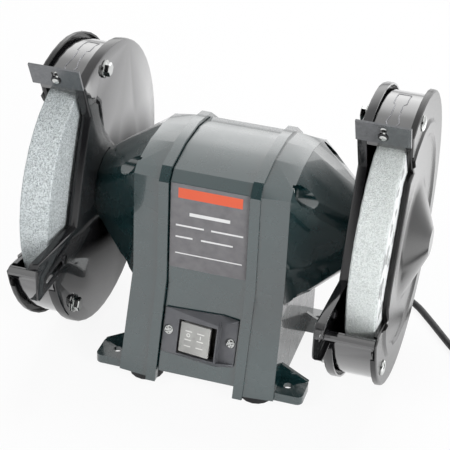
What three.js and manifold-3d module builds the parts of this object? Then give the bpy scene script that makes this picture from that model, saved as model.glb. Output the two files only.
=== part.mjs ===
// Bench grinder with two 200 mm wheels. Millimetres, +Z up, X along the spindle, front towards -Y.
import * as THREE from 'three';
import * as BufferGeometryUtils from 'three/addons/utils/BufferGeometryUtils.js';
import { ConvexGeometry } from 'three/addons/geometries/ConvexGeometry.js';
import Module from 'manifold-3d';

const wasm = await Module();
wasm.setup();

// ---------------------------------------------------------------- driving dimensions

const FIT = 0.3; // gap between pieces that touch
const SHEET = 1.5; // guard sheet
const axisHeight = 133.5; // spindle above the bench

const wheel = { diameter: 200, width: 20, bore: 16, chamfer: 1, spacing: 263.6 };
const wheelRadius = wheel.diameter / 2;
const wheelInner = wheel.spacing / 2 - wheel.width / 2;
const wheelOuter = wheelInner + wheel.width;
const blotter = { radius: 47, thickness: 0.8 };
const flange = { radius: 36, thickness: 5, hubRadius: 16, hubLength: 6, recess: 0.8, recessRadius: 24 };
const nut = { flats: 24, thickness: 8 };

const spindle = { coreRadius: 10, journalRadius: 8.5, shift: -1.1, tail: 3.5, chamfer: 1 };
const spindleRun = 0.4; // gap round the turning spindle

const bearing = { radius: 20, width: 12, wall: 2.4 };
const washer = { thickness: 1.1, inner: 15 };
const stator = { radius: 51.6, bore: 30.5, halfLength: 25, slots: 24, slotWidth: 4, slotDepth: 13 };
const winding = { inner: 33, outer: 48, length: 15 };
const rotorRadius = 30;
const rotorRing = { outer: 27, length: 6 };
const capacitor = { radius: 16, length: 58, y: 14 };

// Body section: flat front and back, chamfered shoulders, crowned top, apron that spreads to the foot
const body = {
  halfDepth: 61, shoulder: 47.5, ridgeDepth: 54, ridge: 55.2, crown: 61.5,
  rearShoulder: 42.4, rearRidgeDepth: 42, rearRidge: 54,
  footFront: 85.5, footBack: 50, footHeight: 9.5, wall: 3.6, innerTop: 72,
};
const shell = { halfLength: 32.5, crease: 88, footHeight: 16 };
const band = { width: 8.3, proud: 3.2, crease: 96 };
const bell = { length: 22.1, draft: 2.6, crease: 95, wallDraft: 2.4 };
const cone = { endRadius: 30, step: 0.7 };
const bellCavity = { radius: 53, end: 60, neckRadius: 22 };
const shaftHole = spindle.journalRadius + spindleRun;

const tieBolt = {
  radius: 2.5, headRadius: 4.6, headLength: 5, depth: 45, rise: 46, backDepth: 40, backRise: 41,
  pocketRadius: 8.5,
};
const tieSeat = 56; // where the corner pockets of the bells end

const foot = {
  reach: 88, front: 79.5, back: 53.5, top: 15.8, bottom: 8.3, plate: 4, skirt: 2.6, corner: 5,
  holeX: 73, holeRadius: 3.6, webThickness: 3, webTop: 30,
};
const rearFoot = { front: 22, back: 48 };
const pad = {
  x: 47.3, yFront: -66, yBack: 34, radius: 14, height: foot.bottom - FIT, neckRadius: 11.5, draft: 1,
};
const basePlate = { bottom: shell.footHeight + FIT, thickness: 1.5 };

const guard = {
  innerGap: 14.8, outerGap: 6.9, innerRim: 7.6, coverRim: 4.6, bend: 2, lip: 4.8, bandGap: 12.5,
};
const bandInner = wheelRadius + guard.bandGap;
const bandOuter = bandInner + SHEET;
const panRadius = bandOuter + guard.lip;
const innerFace = wheelInner - guard.innerGap;
const coverFace = wheelOuter + guard.outerGap;
const cutAngle = THREE.MathUtils.degToRad(115); // upper end of the guard, from +Y towards +Z
const coverCut = { upper: THREE.MathUtils.degToRad(111.5), lower: THREE.MathUtils.degToRad(193.7) };
const rimEnd = { reach: 104, cover: -45, inner: -41 }; // the pans have no rim in front of and above these
const armReach = 149;
const arm = {
  top: 3.5, bottom: -30, topCorner: 6, corner: 9, openEnd: 10,
  slotFront: -133, slotBack: -93, slotRise: -20, slotWidth: 6.4,
};
const dome = { baseRadius: 56, noseRadius: 7, height: 19 };
const pressedRing = { inner: 83, outer: 97, proud: 1.6 };
const guardBolt = { inset: 7.7, radius: 3, flats: 10, headLength: 4, washerRadius: 7.5, washer: 1.4 };
const guardBoltCircle = bandOuter - guardBolt.inset;
const guardBoltAngles = { top: 94, front: 223, back: 328 }; // degrees from +Y towards +Z
const hem = { angle: THREE.MathUtils.degToRad(193.2), proud: 5, height: 8, foot: 11 };

const deflector = {
  thickness: 1.8, height: 21.5, slotWidth: 5, travel: 8, screwRadius: 2.1, headRadius: 3.8,
};
const bandLip = { height: 15 };
const relief = { below: 2, above: 6 }; // notch in the strip at the end of the cover's rim

const coneEnd = innerFace - FIT;
const bellEnd = shell.halfLength + band.width + bell.length;

// Switch, measured on the apron: x across, y up the slope, z out of it
const apron = { drop: 38.5 }; // from the crease down the slope to the middle of the switch plate
const switchPlate = {
  left: -31, ridge: 16.6, right: 30.3, leftHalf: 18.8, ridgeTop: 20.8, ridgeBottom: -23, rightTop: 18.8,
  rightBottom: -20, height: 12, frontTop: 14.5, frontBottom: -15.5, base: 2, cheek: 2.2,
};
const rocker = {
  halfWidth: 13.6, height: 25, y: -2.5, x: -1.2, pivot: -1.5, top: 8.6, bottom: -4, footHalf: 9, tilt: 12,
};
const switchBody = { wall: 1, depth: 27, rockerGap: 0.5, rim: 1.6 };

const cordDiameter = 6;
const gland = {
  x: 20, z: 38, flangeRadius: 9, flange: 3, neckRadius: 6.2, neck: 7, sleeve: 30, rootRadius: 6.5, tip: 4.4,
};
const coil = { x: 268, y: 20, midRadius: 34, bundle: 27, height: 18.6 };
const plug = {
  axisHeight: 18.6, radius: 18.2, body: 20, grip: 26, tail: 14, pinRadius: 2.4, pinLength: 19, pinPitch: 19,
};

const facets = { wheel: 48, large: 32, round: 24, small: 16, rod: 12, hole: 8 };
const outlineStep = 15; // between the points of a round stretch of an outline

// ---------------------------------------------------------------- helpers

const AXIS_X = new THREE.Vector3(1, 0, 0);
const AXIS_Y = new THREE.Vector3(0, 1, 0);
const AXIS_Z = new THREE.Vector3(0, 0, 1);
const sectionYZ = new THREE.Matrix4().makeBasis(AXIS_Y, AXIS_Z, AXIS_X);
const sectionXZ = new THREE.Matrix4().makeBasis(AXIS_X, AXIS_Z, AXIS_Y.clone().negate());

// A closed three.js geometry as a solid
function solid(geometry) {
  const bare = new THREE.BufferGeometry();
  bare.setAttribute('position', geometry.getAttribute('position'));
  bare.setIndex(geometry.getIndex());
  const merged = BufferGeometryUtils.mergeVertices(bare, 1e-4);
  const corners = merged.index.array;
  const triVerts = [];
  for (let i = 0; i < corners.length; i += 3) {
    const [a, b, c] = corners.slice(i, i + 3);
    if (a !== b && b !== c && c !== a) triVerts.push(a, b, c);
  }
  return new wasm.Manifold(new wasm.Mesh({
    numProp: 3,
    vertProperties: new Float32Array(merged.getAttribute('position').array),
    triVerts: new Uint32Array(triVerts),
  }));
}

// A solid as a three.js geometry with crisp edges
function surface(shape) {
  const mesh = shape.getMesh();
  const geometry = new THREE.BufferGeometry();
  geometry.setAttribute('position', new THREE.BufferAttribute(mesh.vertProperties, 3));
  geometry.setIndex(new THREE.BufferAttribute(mesh.triVerts, 1));
  return BufferGeometryUtils.toCreasedNormals(geometry, Math.PI / 5);
}

const join = (...shapes) => shapes.reduce((whole, shape) => whole.add(shape));
const cut = (whole, ...tools) => tools.reduce((rest, tool) => rest.subtract(tool), whole);
const mirrorX = (shape) => shape.mirror([1, 0, 0]);

// Points round a closed outline: corners as they are, round stretches in steps
function sampled(path, step) {
  return path.curves.flatMap((curve) => {
    const count = curve.isLineCurve ? 1 : Math.max(3, Math.round(curve.getLength() / step));
    return curve.getPoints(count).slice(0, -1);
  });
}

// The same points with none further apart than the step
function subdivided(loop, step) {
  return loop.flatMap((point, i) => {
    const next = loop[(i + 1) % loop.length];
    const count = Math.max(1, Math.round(point.distanceTo(next) / step));
    return Array.from({ length: count }, (_, k) => point.clone().lerp(next, k / count));
  });
}

// A counter-clockwise loop moved inwards
function inset(loop, distance) {
  return loop.map((point, i) => {
    const before = point.clone().sub(loop.at(i - 1)).normalize();
    const after = loop[(i + 1) % loop.length].clone().sub(point).normalize();
    const bisector = new THREE.Vector2(-before.y - after.y, before.x + after.x);
    const mitre = Math.min(2 / bisector.lengthSq(), 2);
    return point.clone().addScaledVector(bisector, distance * mitre);
  });
}

function extruded(shape, length, curveSegments) {
  return new THREE.ExtrudeGeometry(shape, { depth: length, bevelEnabled: false, curveSegments });
}

// Prisms: a section in Y and Z run along X, one in X and Z run along Y, one in X and Y run along Z
function prismX(shape, from, to, curveSegments = 12) {
  return solid(extruded(shape, to - from, curveSegments).applyMatrix4(sectionYZ).translate(from, 0, 0));
}

function prismY(shape, from, to, curveSegments = 12) {
  return solid(extruded(shape, to - from, curveSegments).applyMatrix4(sectionXZ).translate(0, to, 0));
}

function prismZ(shape, from, to, curveSegments = 12) {
  return solid(extruded(shape, to - from, curveSegments).translate(0, 0, from));
}

function block(x, y, z) {
  const size = [x, y, z].map(([from, to]) => to - from);
  const middle = [x, y, z].map(([from, to]) => (from + to) / 2);
  return solid(new THREE.BoxGeometry(...size).translate(...middle));
}

// Solids of revolution; each profile is a list of [radius, height] that runs upwards on the outside
function turned(profile, segments) {
  const loop = [...profile, profile[0]].map(([radius, height]) => new THREE.Vector2(radius, height));
  return new THREE.LatheGeometry(loop, segments);
}

const turnedX = (profile, segments = facets.round) => solid(turned(profile, segments).rotateZ(-Math.PI / 2));
const turnedZ = (profile, segments = facets.small) => solid(turned(profile, segments).rotateX(Math.PI / 2));
const rodX = (radius, from, to, segments = facets.rod) => (
  turnedX([[0, from], [radius, from], [radius, to], [0, to]], segments)
);

// A solid between rings of equal length that follow each other along X
function loft(rings) {
  const count = rings[0].length;
  const positions = rings.flat().flatMap((point) => point.toArray());
  const index = [];
  for (let ring = 0; ring < rings.length - 1; ring += 1) {
    for (let i = 0; i < count; i += 1) {
      const a = ring * count + i;
      const b = ring * count + (i + 1) % count;
      index.push(a, b, b + count, a, b + count, a + count);
    }
  }
  const last = (rings.length - 1) * count;
  const flat = (ring) => ring.map((point) => new THREE.Vector2(point.y, point.z));
  THREE.ShapeUtils.triangulateShape(flat(rings[0]), []).forEach(([a, b, c]) => index.push(a, c, b));
  THREE.ShapeUtils.triangulateShape(flat(rings.at(-1)), []).forEach(([a, b, c]) => {
    index.push(last + a, last + b, last + c);
  });
  const geometry = new THREE.BufferGeometry();
  geometry.setAttribute('position', new THREE.Float32BufferAttribute(positions, 3));
  geometry.setIndex(index);
  return solid(geometry);
}

const ringAt = (x, loop) => loop.map((point) => new THREE.Vector3(x, point.x, point.y));

function circle(radius, x = 0, y = 0) {
  return new THREE.Shape().absarc(x, y, radius, 0, Math.PI * 2);
}

function hexagon(flats, turn = 0) {
  const radius = flats / Math.sqrt(3);
  const corners = Array.from({ length: 6 }, (_, i) => {
    const angle = turn + i * Math.PI / 3;
    return new THREE.Vector2(radius * Math.cos(angle), radius * Math.sin(angle));
  });
  return new THREE.Shape(corners);
}

function roundedBox(x0, x1, y0, y1, radius) {
  const shape = new THREE.Shape();
  shape.moveTo(x0 + radius, y0);
  shape.lineTo(x1 - radius, y0);
  shape.absarc(x1 - radius, y0 + radius, radius, -Math.PI / 2, 0);
  shape.lineTo(x1, y1 - radius);
  shape.absarc(x1 - radius, y1 - radius, radius, 0, Math.PI / 2);
  shape.lineTo(x0 + radius, y1);
  shape.absarc(x0 + radius, y1 - radius, radius, Math.PI / 2, Math.PI);
  shape.lineTo(x0, y0 + radius);
  shape.absarc(x0 + radius, y0 + radius, radius, Math.PI, Math.PI * 1.5);
  return shape;
}

// ---------------------------------------------------------------- materials

const paint = (color, roughness, metalness = 0) => (
  () => new THREE.MeshStandardMaterial({ color, roughness, metalness })
);
const materials = {
  bodyPaint: paint(0x3c4a4a, 0.28),
  guardPaint: paint(0x17181a, 0.22),
  grit: paint(0xb9c2c2, 0.95),
  paper: paint(0xd8dada, 0.85),
  steel: paint(0x9a9c9e, 0.35, 1),
  zinc: paint(0xd0d2d0, 0.3, 1),
  plate: paint(0x45484b, 0.4, 0.6),
  laminations: paint(0x5d5f61, 0.5, 1),
  copper: paint(0xa05a2c, 0.4, 1),
  rubber: paint(0x101112, 0.8),
  plasticDark: paint(0x4d4e52, 0.5),
  plasticGrey: paint(0x9d9d9a, 0.5),
  capacitorCan: paint(0xb8babb, 0.35, 1),
};

function piece(parent, name, material, shape, mirror = false) {
  const mesh = new THREE.Mesh(surface(mirror ? mirrorX(shape) : shape), materials[material]());
  mesh.name = name;
  parent.add(mesh);
  return mesh;
}

function group(parent, position = [0, 0, 0], tilt = 0) {
  const child = new THREE.Group();
  child.position.set(...position);
  child.rotation.x = tilt;
  parent.add(child);
  return child;
}

// ---------------------------------------------------------------- body

// The upper part of the body's section about the spindle, from the back shoulder over the crown to the front
function addUpperHalf(shape, proud, height) {
  const side = body.halfDepth + proud;
  const rise = height + proud * 0.85;
  const middle = (body.rearRidgeDepth - body.ridgeDepth) / 2;
  const peak = 2 * (height + body.crown + proud) - rise - (body.ridge + body.rearRidge) / 2;
  shape.lineTo(side, height + body.rearShoulder);
  shape.lineTo(body.rearRidgeDepth + proud * 0.7, rise + body.rearRidge);
  shape.quadraticCurveTo(middle, peak, -body.ridgeDepth - proud * 0.7, rise + body.ridge);
  shape.lineTo(-side, height + body.shoulder);
}

function bodyOutline(proud, crease, footHeight) {
  const side = body.halfDepth + proud;
  const spread = (body.footFront - body.halfDepth) / (crease - body.footHeight);
  const taper = (body.halfDepth - body.footBack) / (crease - body.footHeight);
  const shape = new THREE.Shape();
  shape.moveTo(-side, axisHeight + body.shoulder);
  shape.lineTo(-side, crease);
  shape.lineTo(-side - spread * (crease - footHeight), footHeight);
  shape.lineTo(side - taper * (crease - footHeight), footHeight);
  shape.lineTo(side, crease);
  addUpperHalf(shape, proud, axisHeight);
  shape.closePath();
  return new THREE.Shape(sampled(shape, 2 * outlineStep));
}

// The motor's own section round the spindle, which the cones of the bells start from
function motorLoop(proud) {
  const side = body.halfDepth + proud;
  const depth = body.ridgeDepth + proud * 0.7;
  const ridge = body.ridge + proud * 0.85;
  const shape = new THREE.Shape();
  shape.moveTo(-side, body.shoulder);
  shape.lineTo(-side, -body.shoulder);
  shape.lineTo(-depth, -ridge);
  shape.quadraticCurveTo(0, ridge - 2 * (body.crown + proud), depth, -ridge);
  shape.lineTo(side, -body.shoulder);
  addUpperHalf(shape, proud, 0);
  shape.closePath();
  return subdivided(sampled(shape, 2 * outlineStep), 2 * outlineStep);
}

// The hollow below the motor, open at the bottom
function pedestalHollow(from, to, crease) {
  const spread = (body.footFront - body.halfDepth) / (crease - body.footHeight);
  const taper = (body.halfDepth - body.footBack) / (crease - body.footHeight);
  const depthAt = (z) => body.halfDepth - body.wall + spread * (crease - z);
  const backAt = (z) => body.halfDepth - body.wall - taper * (crease - z);
  const shape = new THREE.Shape([
    new THREE.Vector2(-depthAt(0), 0),
    new THREE.Vector2(backAt(0), 0),
    new THREE.Vector2(backAt(body.innerTop), body.innerTop),
    new THREE.Vector2(-depthAt(body.innerTop), body.innerTop),
  ]);
  return prismX(shape, from, to);
}

const tieBoltPlaces = {
  front_top: [-tieBolt.depth, tieBolt.rise],
  back_top: [tieBolt.backDepth, tieBolt.backRise],
  front_bottom: [-tieBolt.depth, -tieBolt.rise],
  back_bottom: [tieBolt.depth, -tieBolt.rise],
};

// One rod through the body at each tie bolt
function tieRods(radius, from, to, segments) {
  return Object.values(tieBoltPlaces).map(([y, rise]) => (
    rodX(radius, from, to, segments).translate([0, y, axisHeight + rise])
  ));
}

function motorHousing() {
  const outer = prismX(bodyOutline(0, shell.crease, shell.footHeight), -shell.halfLength, shell.halfLength);
  const reach = shell.halfLength + 1;
  const bore = rodX(stator.radius + FIT, -reach, reach, facets.large).translate([0, 0, axisHeight]);
  return cut(
    outer,
    bore,
    pedestalHollow(-reach, reach, shell.crease),
    ...tieRods(tieBolt.radius + FIT, -reach, reach, facets.hole),
    switchFrame(block(
      [switchHole.left, switchHole.right],
      [switchHole.bottom, switchHole.top],
      [-2 * body.wall, body.wall],
    )),
    glandFrame(turnedZ([[0, -3 * body.wall], [gland.neckRadius + FIT, -3 * body.wall],
      [gland.neckRadius + FIT, body.wall], [0, body.wall]])),
  );
}

function bellBody() {
  const inner = shell.halfLength + FIT;
  const bandEnd = shell.halfLength + band.width;
  const raised = prismX(bodyOutline(band.proud, band.crease, body.footHeight - 1), inner, bandEnd);
  const start = bodyOutline(0, bell.crease, body.footHeight).getPoints();
  const end = bodyOutline(-bell.draft, bell.crease, body.footHeight).getPoints();
  const endRing = end.map((point) => {
    const below = Math.max(0, bell.crease - point.y) / (bell.crease - body.footHeight);
    return new THREE.Vector3(bellEnd + bell.wallDraft * below, point.x, point.y);
  });
  return join(raised, loft([ringAt(bandEnd - 1, start), endRing]));
}

function bellCone() {
  const root = motorLoop(-bell.draft - cone.step);
  const tip = root.map((point) => point.clone().setLength(cone.endRadius));
  return loft([ringAt(bellEnd - 2, root), ringAt(bellEnd, root), ringAt(coneEnd, tip)])
    .translate([0, 0, axisHeight]);
}

function bellHollow() {
  const seatEnd = coneEnd - bearing.wall;
  const seatStart = seatEnd - bearing.width - washer.thickness - 2 * FIT;
  const seatRadius = bearing.radius + FIT;
  return turnedX([
    [0, 0], [bellCavity.radius, 0], [bellCavity.radius, bellCavity.end - 14],
    [bellCavity.neckRadius, seatStart], [seatRadius, seatStart], [seatRadius, seatEnd],
    [shaftHole, seatEnd], [shaftHole, coneEnd + 1], [0, coneEnd + 1],
  ], facets.small).translate([0, 0, axisHeight]);
}

// A foot with a skirt round its edge, a web behind it and a bolt hole
function footSolid(front, back, webAt) {
  const root = bellEnd - 2;
  const plan = roundedBox(root - foot.corner, foot.reach, front, back, foot.corner);
  const hollow = block(
    [bellEnd + foot.skirt, foot.reach - foot.skirt],
    [front + foot.skirt, back - foot.skirt],
    [foot.bottom - 1, foot.top - foot.plate],
  );
  const trimmed = cut(
    prismZ(plan, foot.bottom, foot.top, 2),
    block([0, root], [front - 1, back + 1], [0, foot.top + 1]),
    hollow,
  );
  const web = new THREE.Shape([
    new THREE.Vector2(root, foot.top - 1),
    new THREE.Vector2(foot.reach - 0.6, foot.top - 1),
    new THREE.Vector2(foot.reach - 0.6, foot.top),
    new THREE.Vector2(root, foot.webTop),
  ]);
  const holePlan = circle(foot.holeRadius, foot.holeX, (front + back) / 2);
  const hole = prismZ(holePlan, 0, foot.top + 1, facets.small / 2);
  return cut(join(trimmed, prismY(web, webAt, webAt + foot.webThickness)), hole);
}

function endBell() {
  const whole = join(
    bellBody(),
    bellCone(),
    footSolid(-foot.front, -foot.back, -foot.back - foot.webThickness),
    footSolid(rearFoot.front, rearFoot.back, rearFoot.front),
  );
  return cut(
    whole,
    bellHollow(),
    pedestalHollow(0, bellEnd - body.wall, bell.crease),
    ...tieRods(tieBolt.radius + FIT, 0, bellEnd, facets.hole),
    ...tieRods(tieBolt.pocketRadius, tieSeat, coneEnd + 1, facets.small),
  );
}

function bottomPlate() {
  const slope = (body.footFront - body.halfDepth) / (bell.crease - body.footHeight);
  const front = body.halfDepth - body.wall + slope * (bell.crease - basePlate.bottom - basePlate.thickness);
  const back = body.footBack - body.wall - FIT;
  const side = bellEnd - body.wall - FIT;
  const plan = roundedBox(-side, side, -front + FIT, back, 4);
  return prismZ(plan, basePlate.bottom, basePlate.bottom + basePlate.thickness, 2);
}

function rubberPad() {
  return turnedZ([
    [0, 0], [pad.radius - pad.draft, 0], [pad.radius, pad.draft], [pad.radius, pad.height],
    [pad.neckRadius, pad.height], [pad.neckRadius, basePlate.bottom - FIT], [0, basePlate.bottom - FIT],
  ]);
}

// ---------------------------------------------------------------- motor

function statorCore() {
  const section = circle(stator.radius);
  const bore = new THREE.Path();
  const half = stator.slotWidth / 2;
  const mouth = Math.sqrt(stator.bore ** 2 - half ** 2);
  for (let i = 0; i < stator.slots; i += 1) {
    const angle = -i * 2 * Math.PI / stator.slots;
    const at = (radius, side) => (
      new THREE.Vector2(radius, side * half).rotateAround(new THREE.Vector2(), angle)
    );
    const outer = stator.bore + stator.slotDepth;
    const corners = [at(mouth, 1), at(outer, 1), at(outer, -1), at(mouth, -1)];
    corners.forEach((corner) => {
      if (bore.curves.length === 0 && corner === corners[0]) bore.moveTo(corner.x, corner.y);
      else bore.lineTo(corner.x, corner.y);
    });
  }
  section.holes.push(bore);
  return prismX(section, -stator.halfLength, stator.halfLength, facets.large / 2);
}

function windingHead() {
  const from = stator.halfLength + FIT;
  const to = from + winding.length;
  const round = 3;
  return turnedX([
    [winding.inner, from], [winding.outer, from], [winding.outer, to - round],
    [winding.outer - round, to], [winding.inner + round, to], [winding.inner, to - round],
  ], facets.small);
}

function rotorCore() {
  const bore = spindle.coreRadius + FIT;
  const end = stator.halfLength;
  const ring = end + rotorRing.length;
  return turnedX([
    [bore, -ring], [rotorRing.outer, -ring], [rotorRing.outer, -end], [rotorRadius, -end],
    [rotorRadius, end], [rotorRing.outer, end], [rotorRing.outer, ring], [bore, ring],
  ], facets.small);
}

const flangeInnerFace = wheelInner - blotter.thickness - 2 * FIT;
const flangeOuterFace = wheelOuter + blotter.thickness + 2 * FIT;
const nutFace = flangeOuterFace + flange.thickness + FIT;
const spindleEnd = nutFace + nut.thickness + spindle.tail;
const wheelSeat = wheel.bore / 2 - FIT;
const shoulderAt = flangeInnerFace - flange.thickness - flange.hubLength - FIT;
const bearingOuter = coneEnd - bearing.wall - FIT;
const coreShoulder = bearingOuter - bearing.width - 4;

function spindleShaft() {
  const half = [
    [wheelSeat - spindle.chamfer, spindleEnd], [wheelSeat, spindleEnd - spindle.chamfer],
    [wheelSeat, shoulderAt], [spindle.journalRadius, shoulderAt],
    [spindle.journalRadius, coreShoulder], [spindle.coreRadius, coreShoulder],
  ];
  const lower = half.map(([radius, x]) => [radius, -x]);
  const upper = [...half].reverse();
  return turnedX([[0, -spindleEnd], ...lower, ...upper, [0, spindleEnd]], facets.rod);
}

function ballBearing() {
  const to = bearingOuter;
  const from = to - bearing.width;
  const bore = spindle.journalRadius + spindleRun;
  return turnedX([[bore, from], [bearing.radius, from], [bearing.radius, to], [bore, to]], facets.small);
}

function springWasher() {
  const to = bearingOuter - bearing.width - FIT;
  const from = to - washer.thickness;
  const { inner } = washer;
  const outer = bearing.radius - FIT;
  return turnedX([[inner, from], [outer, from], [outer, to], [inner, to]], facets.small);
}

function tieBoltSolid() {
  const end = tieSeat + FIT;
  const head = (from, to) => prismX(hexagon(2 * tieBolt.headRadius), from, to);
  return join(
    rodX(tieBolt.radius, -end - 1, end + 1, facets.hole),
    head(end, end + tieBolt.headLength),
    head(-end - tieBolt.headLength, -end),
  );
}

// ---------------------------------------------------------------- wheels

function grindingWheel() {
  const bore = wheel.bore / 2;
  return turnedX([
    [bore, wheelInner], [wheelRadius - wheel.chamfer, wheelInner], [wheelRadius, wheelInner + wheel.chamfer],
    [wheelRadius, wheelOuter - wheel.chamfer], [wheelRadius - wheel.chamfer, wheelOuter], [bore, wheelOuter],
  ], facets.wheel);
}

function paperBlotter(from) {
  const to = from + blotter.thickness;
  const bore = wheel.bore / 2;
  return turnedX([[bore, from], [blotter.radius, from], [blotter.radius, to], [bore, to]], facets.small);
}

function innerFlange() {
  const face = flangeInnerFace;
  const back = face - flange.thickness;
  const bore = wheel.bore / 2;
  return turnedX([
    [bore, back - flange.hubLength], [flange.hubRadius, back - flange.hubLength], [flange.hubRadius, back],
    [flange.radius, back], [flange.radius, face], [flange.recessRadius, face],
    [flange.recessRadius, face - flange.recess], [bore, face - flange.recess],
  ], facets.small);
}

function outerFlange() {
  const face = flangeOuterFace;
  const back = face + flange.thickness;
  const bore = wheel.bore / 2;
  return turnedX([
    [bore, face + flange.recess], [flange.recessRadius, face + flange.recess], [flange.recessRadius, face],
    [flange.radius, face], [flange.radius, back - 2], [flange.radius - 8, back], [bore, back],
  ], facets.small);
}

function spindleNut() {
  return cut(
    prismX(hexagon(nut.flats), nutFace, nutFace + nut.thickness),
    rodX(wheel.bore / 2, nutFace - 1, nutFace + nut.thickness + 1, facets.small),
  );
}

// ---------------------------------------------------------------- guards

const polar = (radius, angle) => new THREE.Vector2(radius * Math.cos(angle), radius * Math.sin(angle));

// Side view of the inner guard: a disc, the cut window and the arm for the tool rest
function innerGuardLoop() {
  const cutEnd = polar(84, cutAngle);
  const armAngle = Math.PI * 2 - Math.acos(-Math.sqrt(panRadius ** 2 - arm.bottom ** 2) / panRadius);
  const shape = new THREE.Shape();
  shape.absarc(0, 0, panRadius, armAngle, cutAngle + Math.PI * 2);
  shape.lineTo(cutEnd.x, cutEnd.y);
  shape.quadraticCurveTo(-55, 36, -68, -6.5);
  shape.lineTo(-armReach + arm.topCorner, arm.top);
  shape.quadraticCurveTo(-armReach, arm.top, -armReach, arm.top - arm.topCorner);
  shape.lineTo(-armReach, arm.bottom + arm.corner);
  shape.quadraticCurveTo(-armReach, arm.bottom, -armReach + arm.corner, arm.bottom);
  shape.closePath();
  return sampled(shape, outlineStep);
}

// Side view of the outer cover, with its window and the nick above it
function coverLoop() {
  const shape = new THREE.Shape();
  shape.absarc(0, 0, panRadius, coverCut.lower, coverCut.upper + Math.PI * 2);
  shape.lineTo(-34, 86.5);
  shape.lineTo(-23, 71);
  shape.lineTo(-35, 69);
  shape.quadraticCurveTo(-56, 26, -72, -8.5);
  shape.quadraticCurveTo(-78, -23, -70, -34);
  shape.lineTo(-97, -28);
  shape.lineTo(-108, -26.5);
  shape.closePath();
  return sampled(shape, outlineStep);
}

// A pressed pan: a flat face with a bent edge all round it, its rim running towards the wheel
function pan(loop, face, rim) {
  const inwards = Math.sign(rim - face);
  const outside = loft(inOrder([
    ringAt(face, inset(loop, guard.bend)),
    ringAt(face + inwards * guard.bend * 0.3, inset(loop, guard.bend * 0.3)),
    ringAt(face + inwards * guard.bend, loop),
    ringAt(rim, loop),
  ], inwards));
  const hollow = inset(loop, SHEET);
  const floor = ringAt(face + inwards * SHEET, hollow);
  const mouth = ringAt(rim + inwards, hollow);
  return cut(outside, loft(inOrder([floor, mouth], inwards)));
}

const inOrder = (rings, direction) => (direction > 0 ? rings : [...rings].reverse());

function guardBoltHoles(radius) {
  return Object.values(guardBoltAngles).map((degrees) => {
    const { x: y, y: z } = polar(guardBoltCircle, THREE.MathUtils.degToRad(degrees));
    return rodX(radius, innerFace - 10, coverFace + 10, facets.hole).translate([0, y, z]);
  });
}

function innerGuard() {
  const slot = roundedBox(
    arm.slotFront, arm.slotBack, arm.slotRise - arm.slotWidth / 2, arm.slotRise + arm.slotWidth / 2,
    arm.slotWidth / 2 - 0.01,
  );
  const rim = [innerFace + SHEET, innerFace + guard.innerRim + 1];
  return cut(
    pan(innerGuardLoop(), innerFace, innerFace + guard.innerRim),
    block(rim, [-armReach - 1, -armReach + arm.openEnd], [arm.bottom + 2 * SHEET, arm.top - 2 * SHEET]),
    block(rim, [-panRadius - 1, -rimEnd.reach], [rimEnd.inner, arm.bottom + 2 * SHEET]),
    rodX(flange.hubRadius + 3, innerFace - 1, innerFace + guard.innerRim, facets.small),
    prismX(slot, innerFace - 1, innerFace + guard.innerRim, 4),
    ...guardBoltHoles(guardBolt.radius + FIT),
  );
}

// The skin of the cover's dome and pressed ring, moved inwards by a sheet for the inside
function coverRelief(depth) {
  const face = coverFace - depth;
  const nose = face + dome.height;
  const spread = depth * 0.4;
  return join(
    turnedX([
      [0, face - 1], [dome.baseRadius - spread, face - 1], [dome.baseRadius - spread, face],
      [dome.noseRadius, nose - 2], [0, nose],
    ]),
    turnedX([
      [pressedRing.inner + spread, face - 1], [pressedRing.outer - spread, face - 1],
      [pressedRing.outer - spread, face], [pressedRing.outer - spread - 3, face + pressedRing.proud],
      [pressedRing.inner + spread + 3, face + pressedRing.proud], [pressedRing.inner + spread, face],
    ]),
  );
}

function outerCover() {
  const loop = coverLoop();
  const rim = coverFace - guard.coverRim;
  const window = prismX(new THREE.Shape(loop), rim - 1, coverFace + dome.height + 1);
  const flatPan = pan(loop, coverFace, rim);
  const raised = coverRelief(0).intersect(window);
  const sunk = coverRelief(SHEET);
  return cut(
    join(flatPan, raised),
    block([rim - 1, coverFace - SHEET], [-panRadius - 1, -rimEnd.reach], [rimEnd.cover, 0]),
    sunk.intersect(prismX(new THREE.Shape(inset(loop, SHEET)), rim - 1, coverFace + dome.height)),
    ...guardBoltHoles(guardBolt.radius + FIT),
  );
}

const bandFrom = innerFace + SHEET + FIT;
const bandTo = coverFace - SHEET - FIT;

function ringSector(inner, outer, from, to) {
  const shape = new THREE.Shape();
  shape.absarc(0, 0, outer, from, to);
  shape.absarc(0, 0, inner, to, from, true);
  shape.closePath();
  return new THREE.Shape(sampled(shape, outlineStep));
}

// The strip round the wheel, with a lip for the deflector at one end and a rolled hem at the other
function guardBand() {
  const clear = (guard.bend + SHEET) / bandInner;
  const full = Math.PI * 2;
  const from = innerFace + guard.innerRim + FIT;
  const to = coverFace - guard.coverRim - FIT;
  const section = ringSector(bandInner, bandOuter, hem.angle, cutAngle + full - clear);
  const strip = prismX(section, bandFrom, bandTo);
  const besideCover = ringSector(bandInner - 2, bandOuter + 2, coverCut.upper - clear, cutAngle);
  const reliefHeight = [rimEnd.cover - relief.below, rimEnd.cover + relief.above];
  const notch = block([to, bandTo + 1], [-bandOuter - 1, -rimEnd.reach], reliefHeight);
  const root = guard.bend + 2 * SHEET;
  const lip = cut(
    join(
      block([from, to], [0, SHEET], [bandInner, bandOuter + bandLip.height]),
      block([from, to], [0, root], [bandInner, bandOuter - 0.1]),
    ),
    deflectorRod(deflector.screwRadius + FIT, -1, SHEET + 1),
  ).rotate([THREE.MathUtils.radToDeg(cutAngle) - 90, 0, 0]);
  return join(cut(strip, prismX(besideCover, to, bandTo + 1), notch), lip, rolledHem());
}

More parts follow.
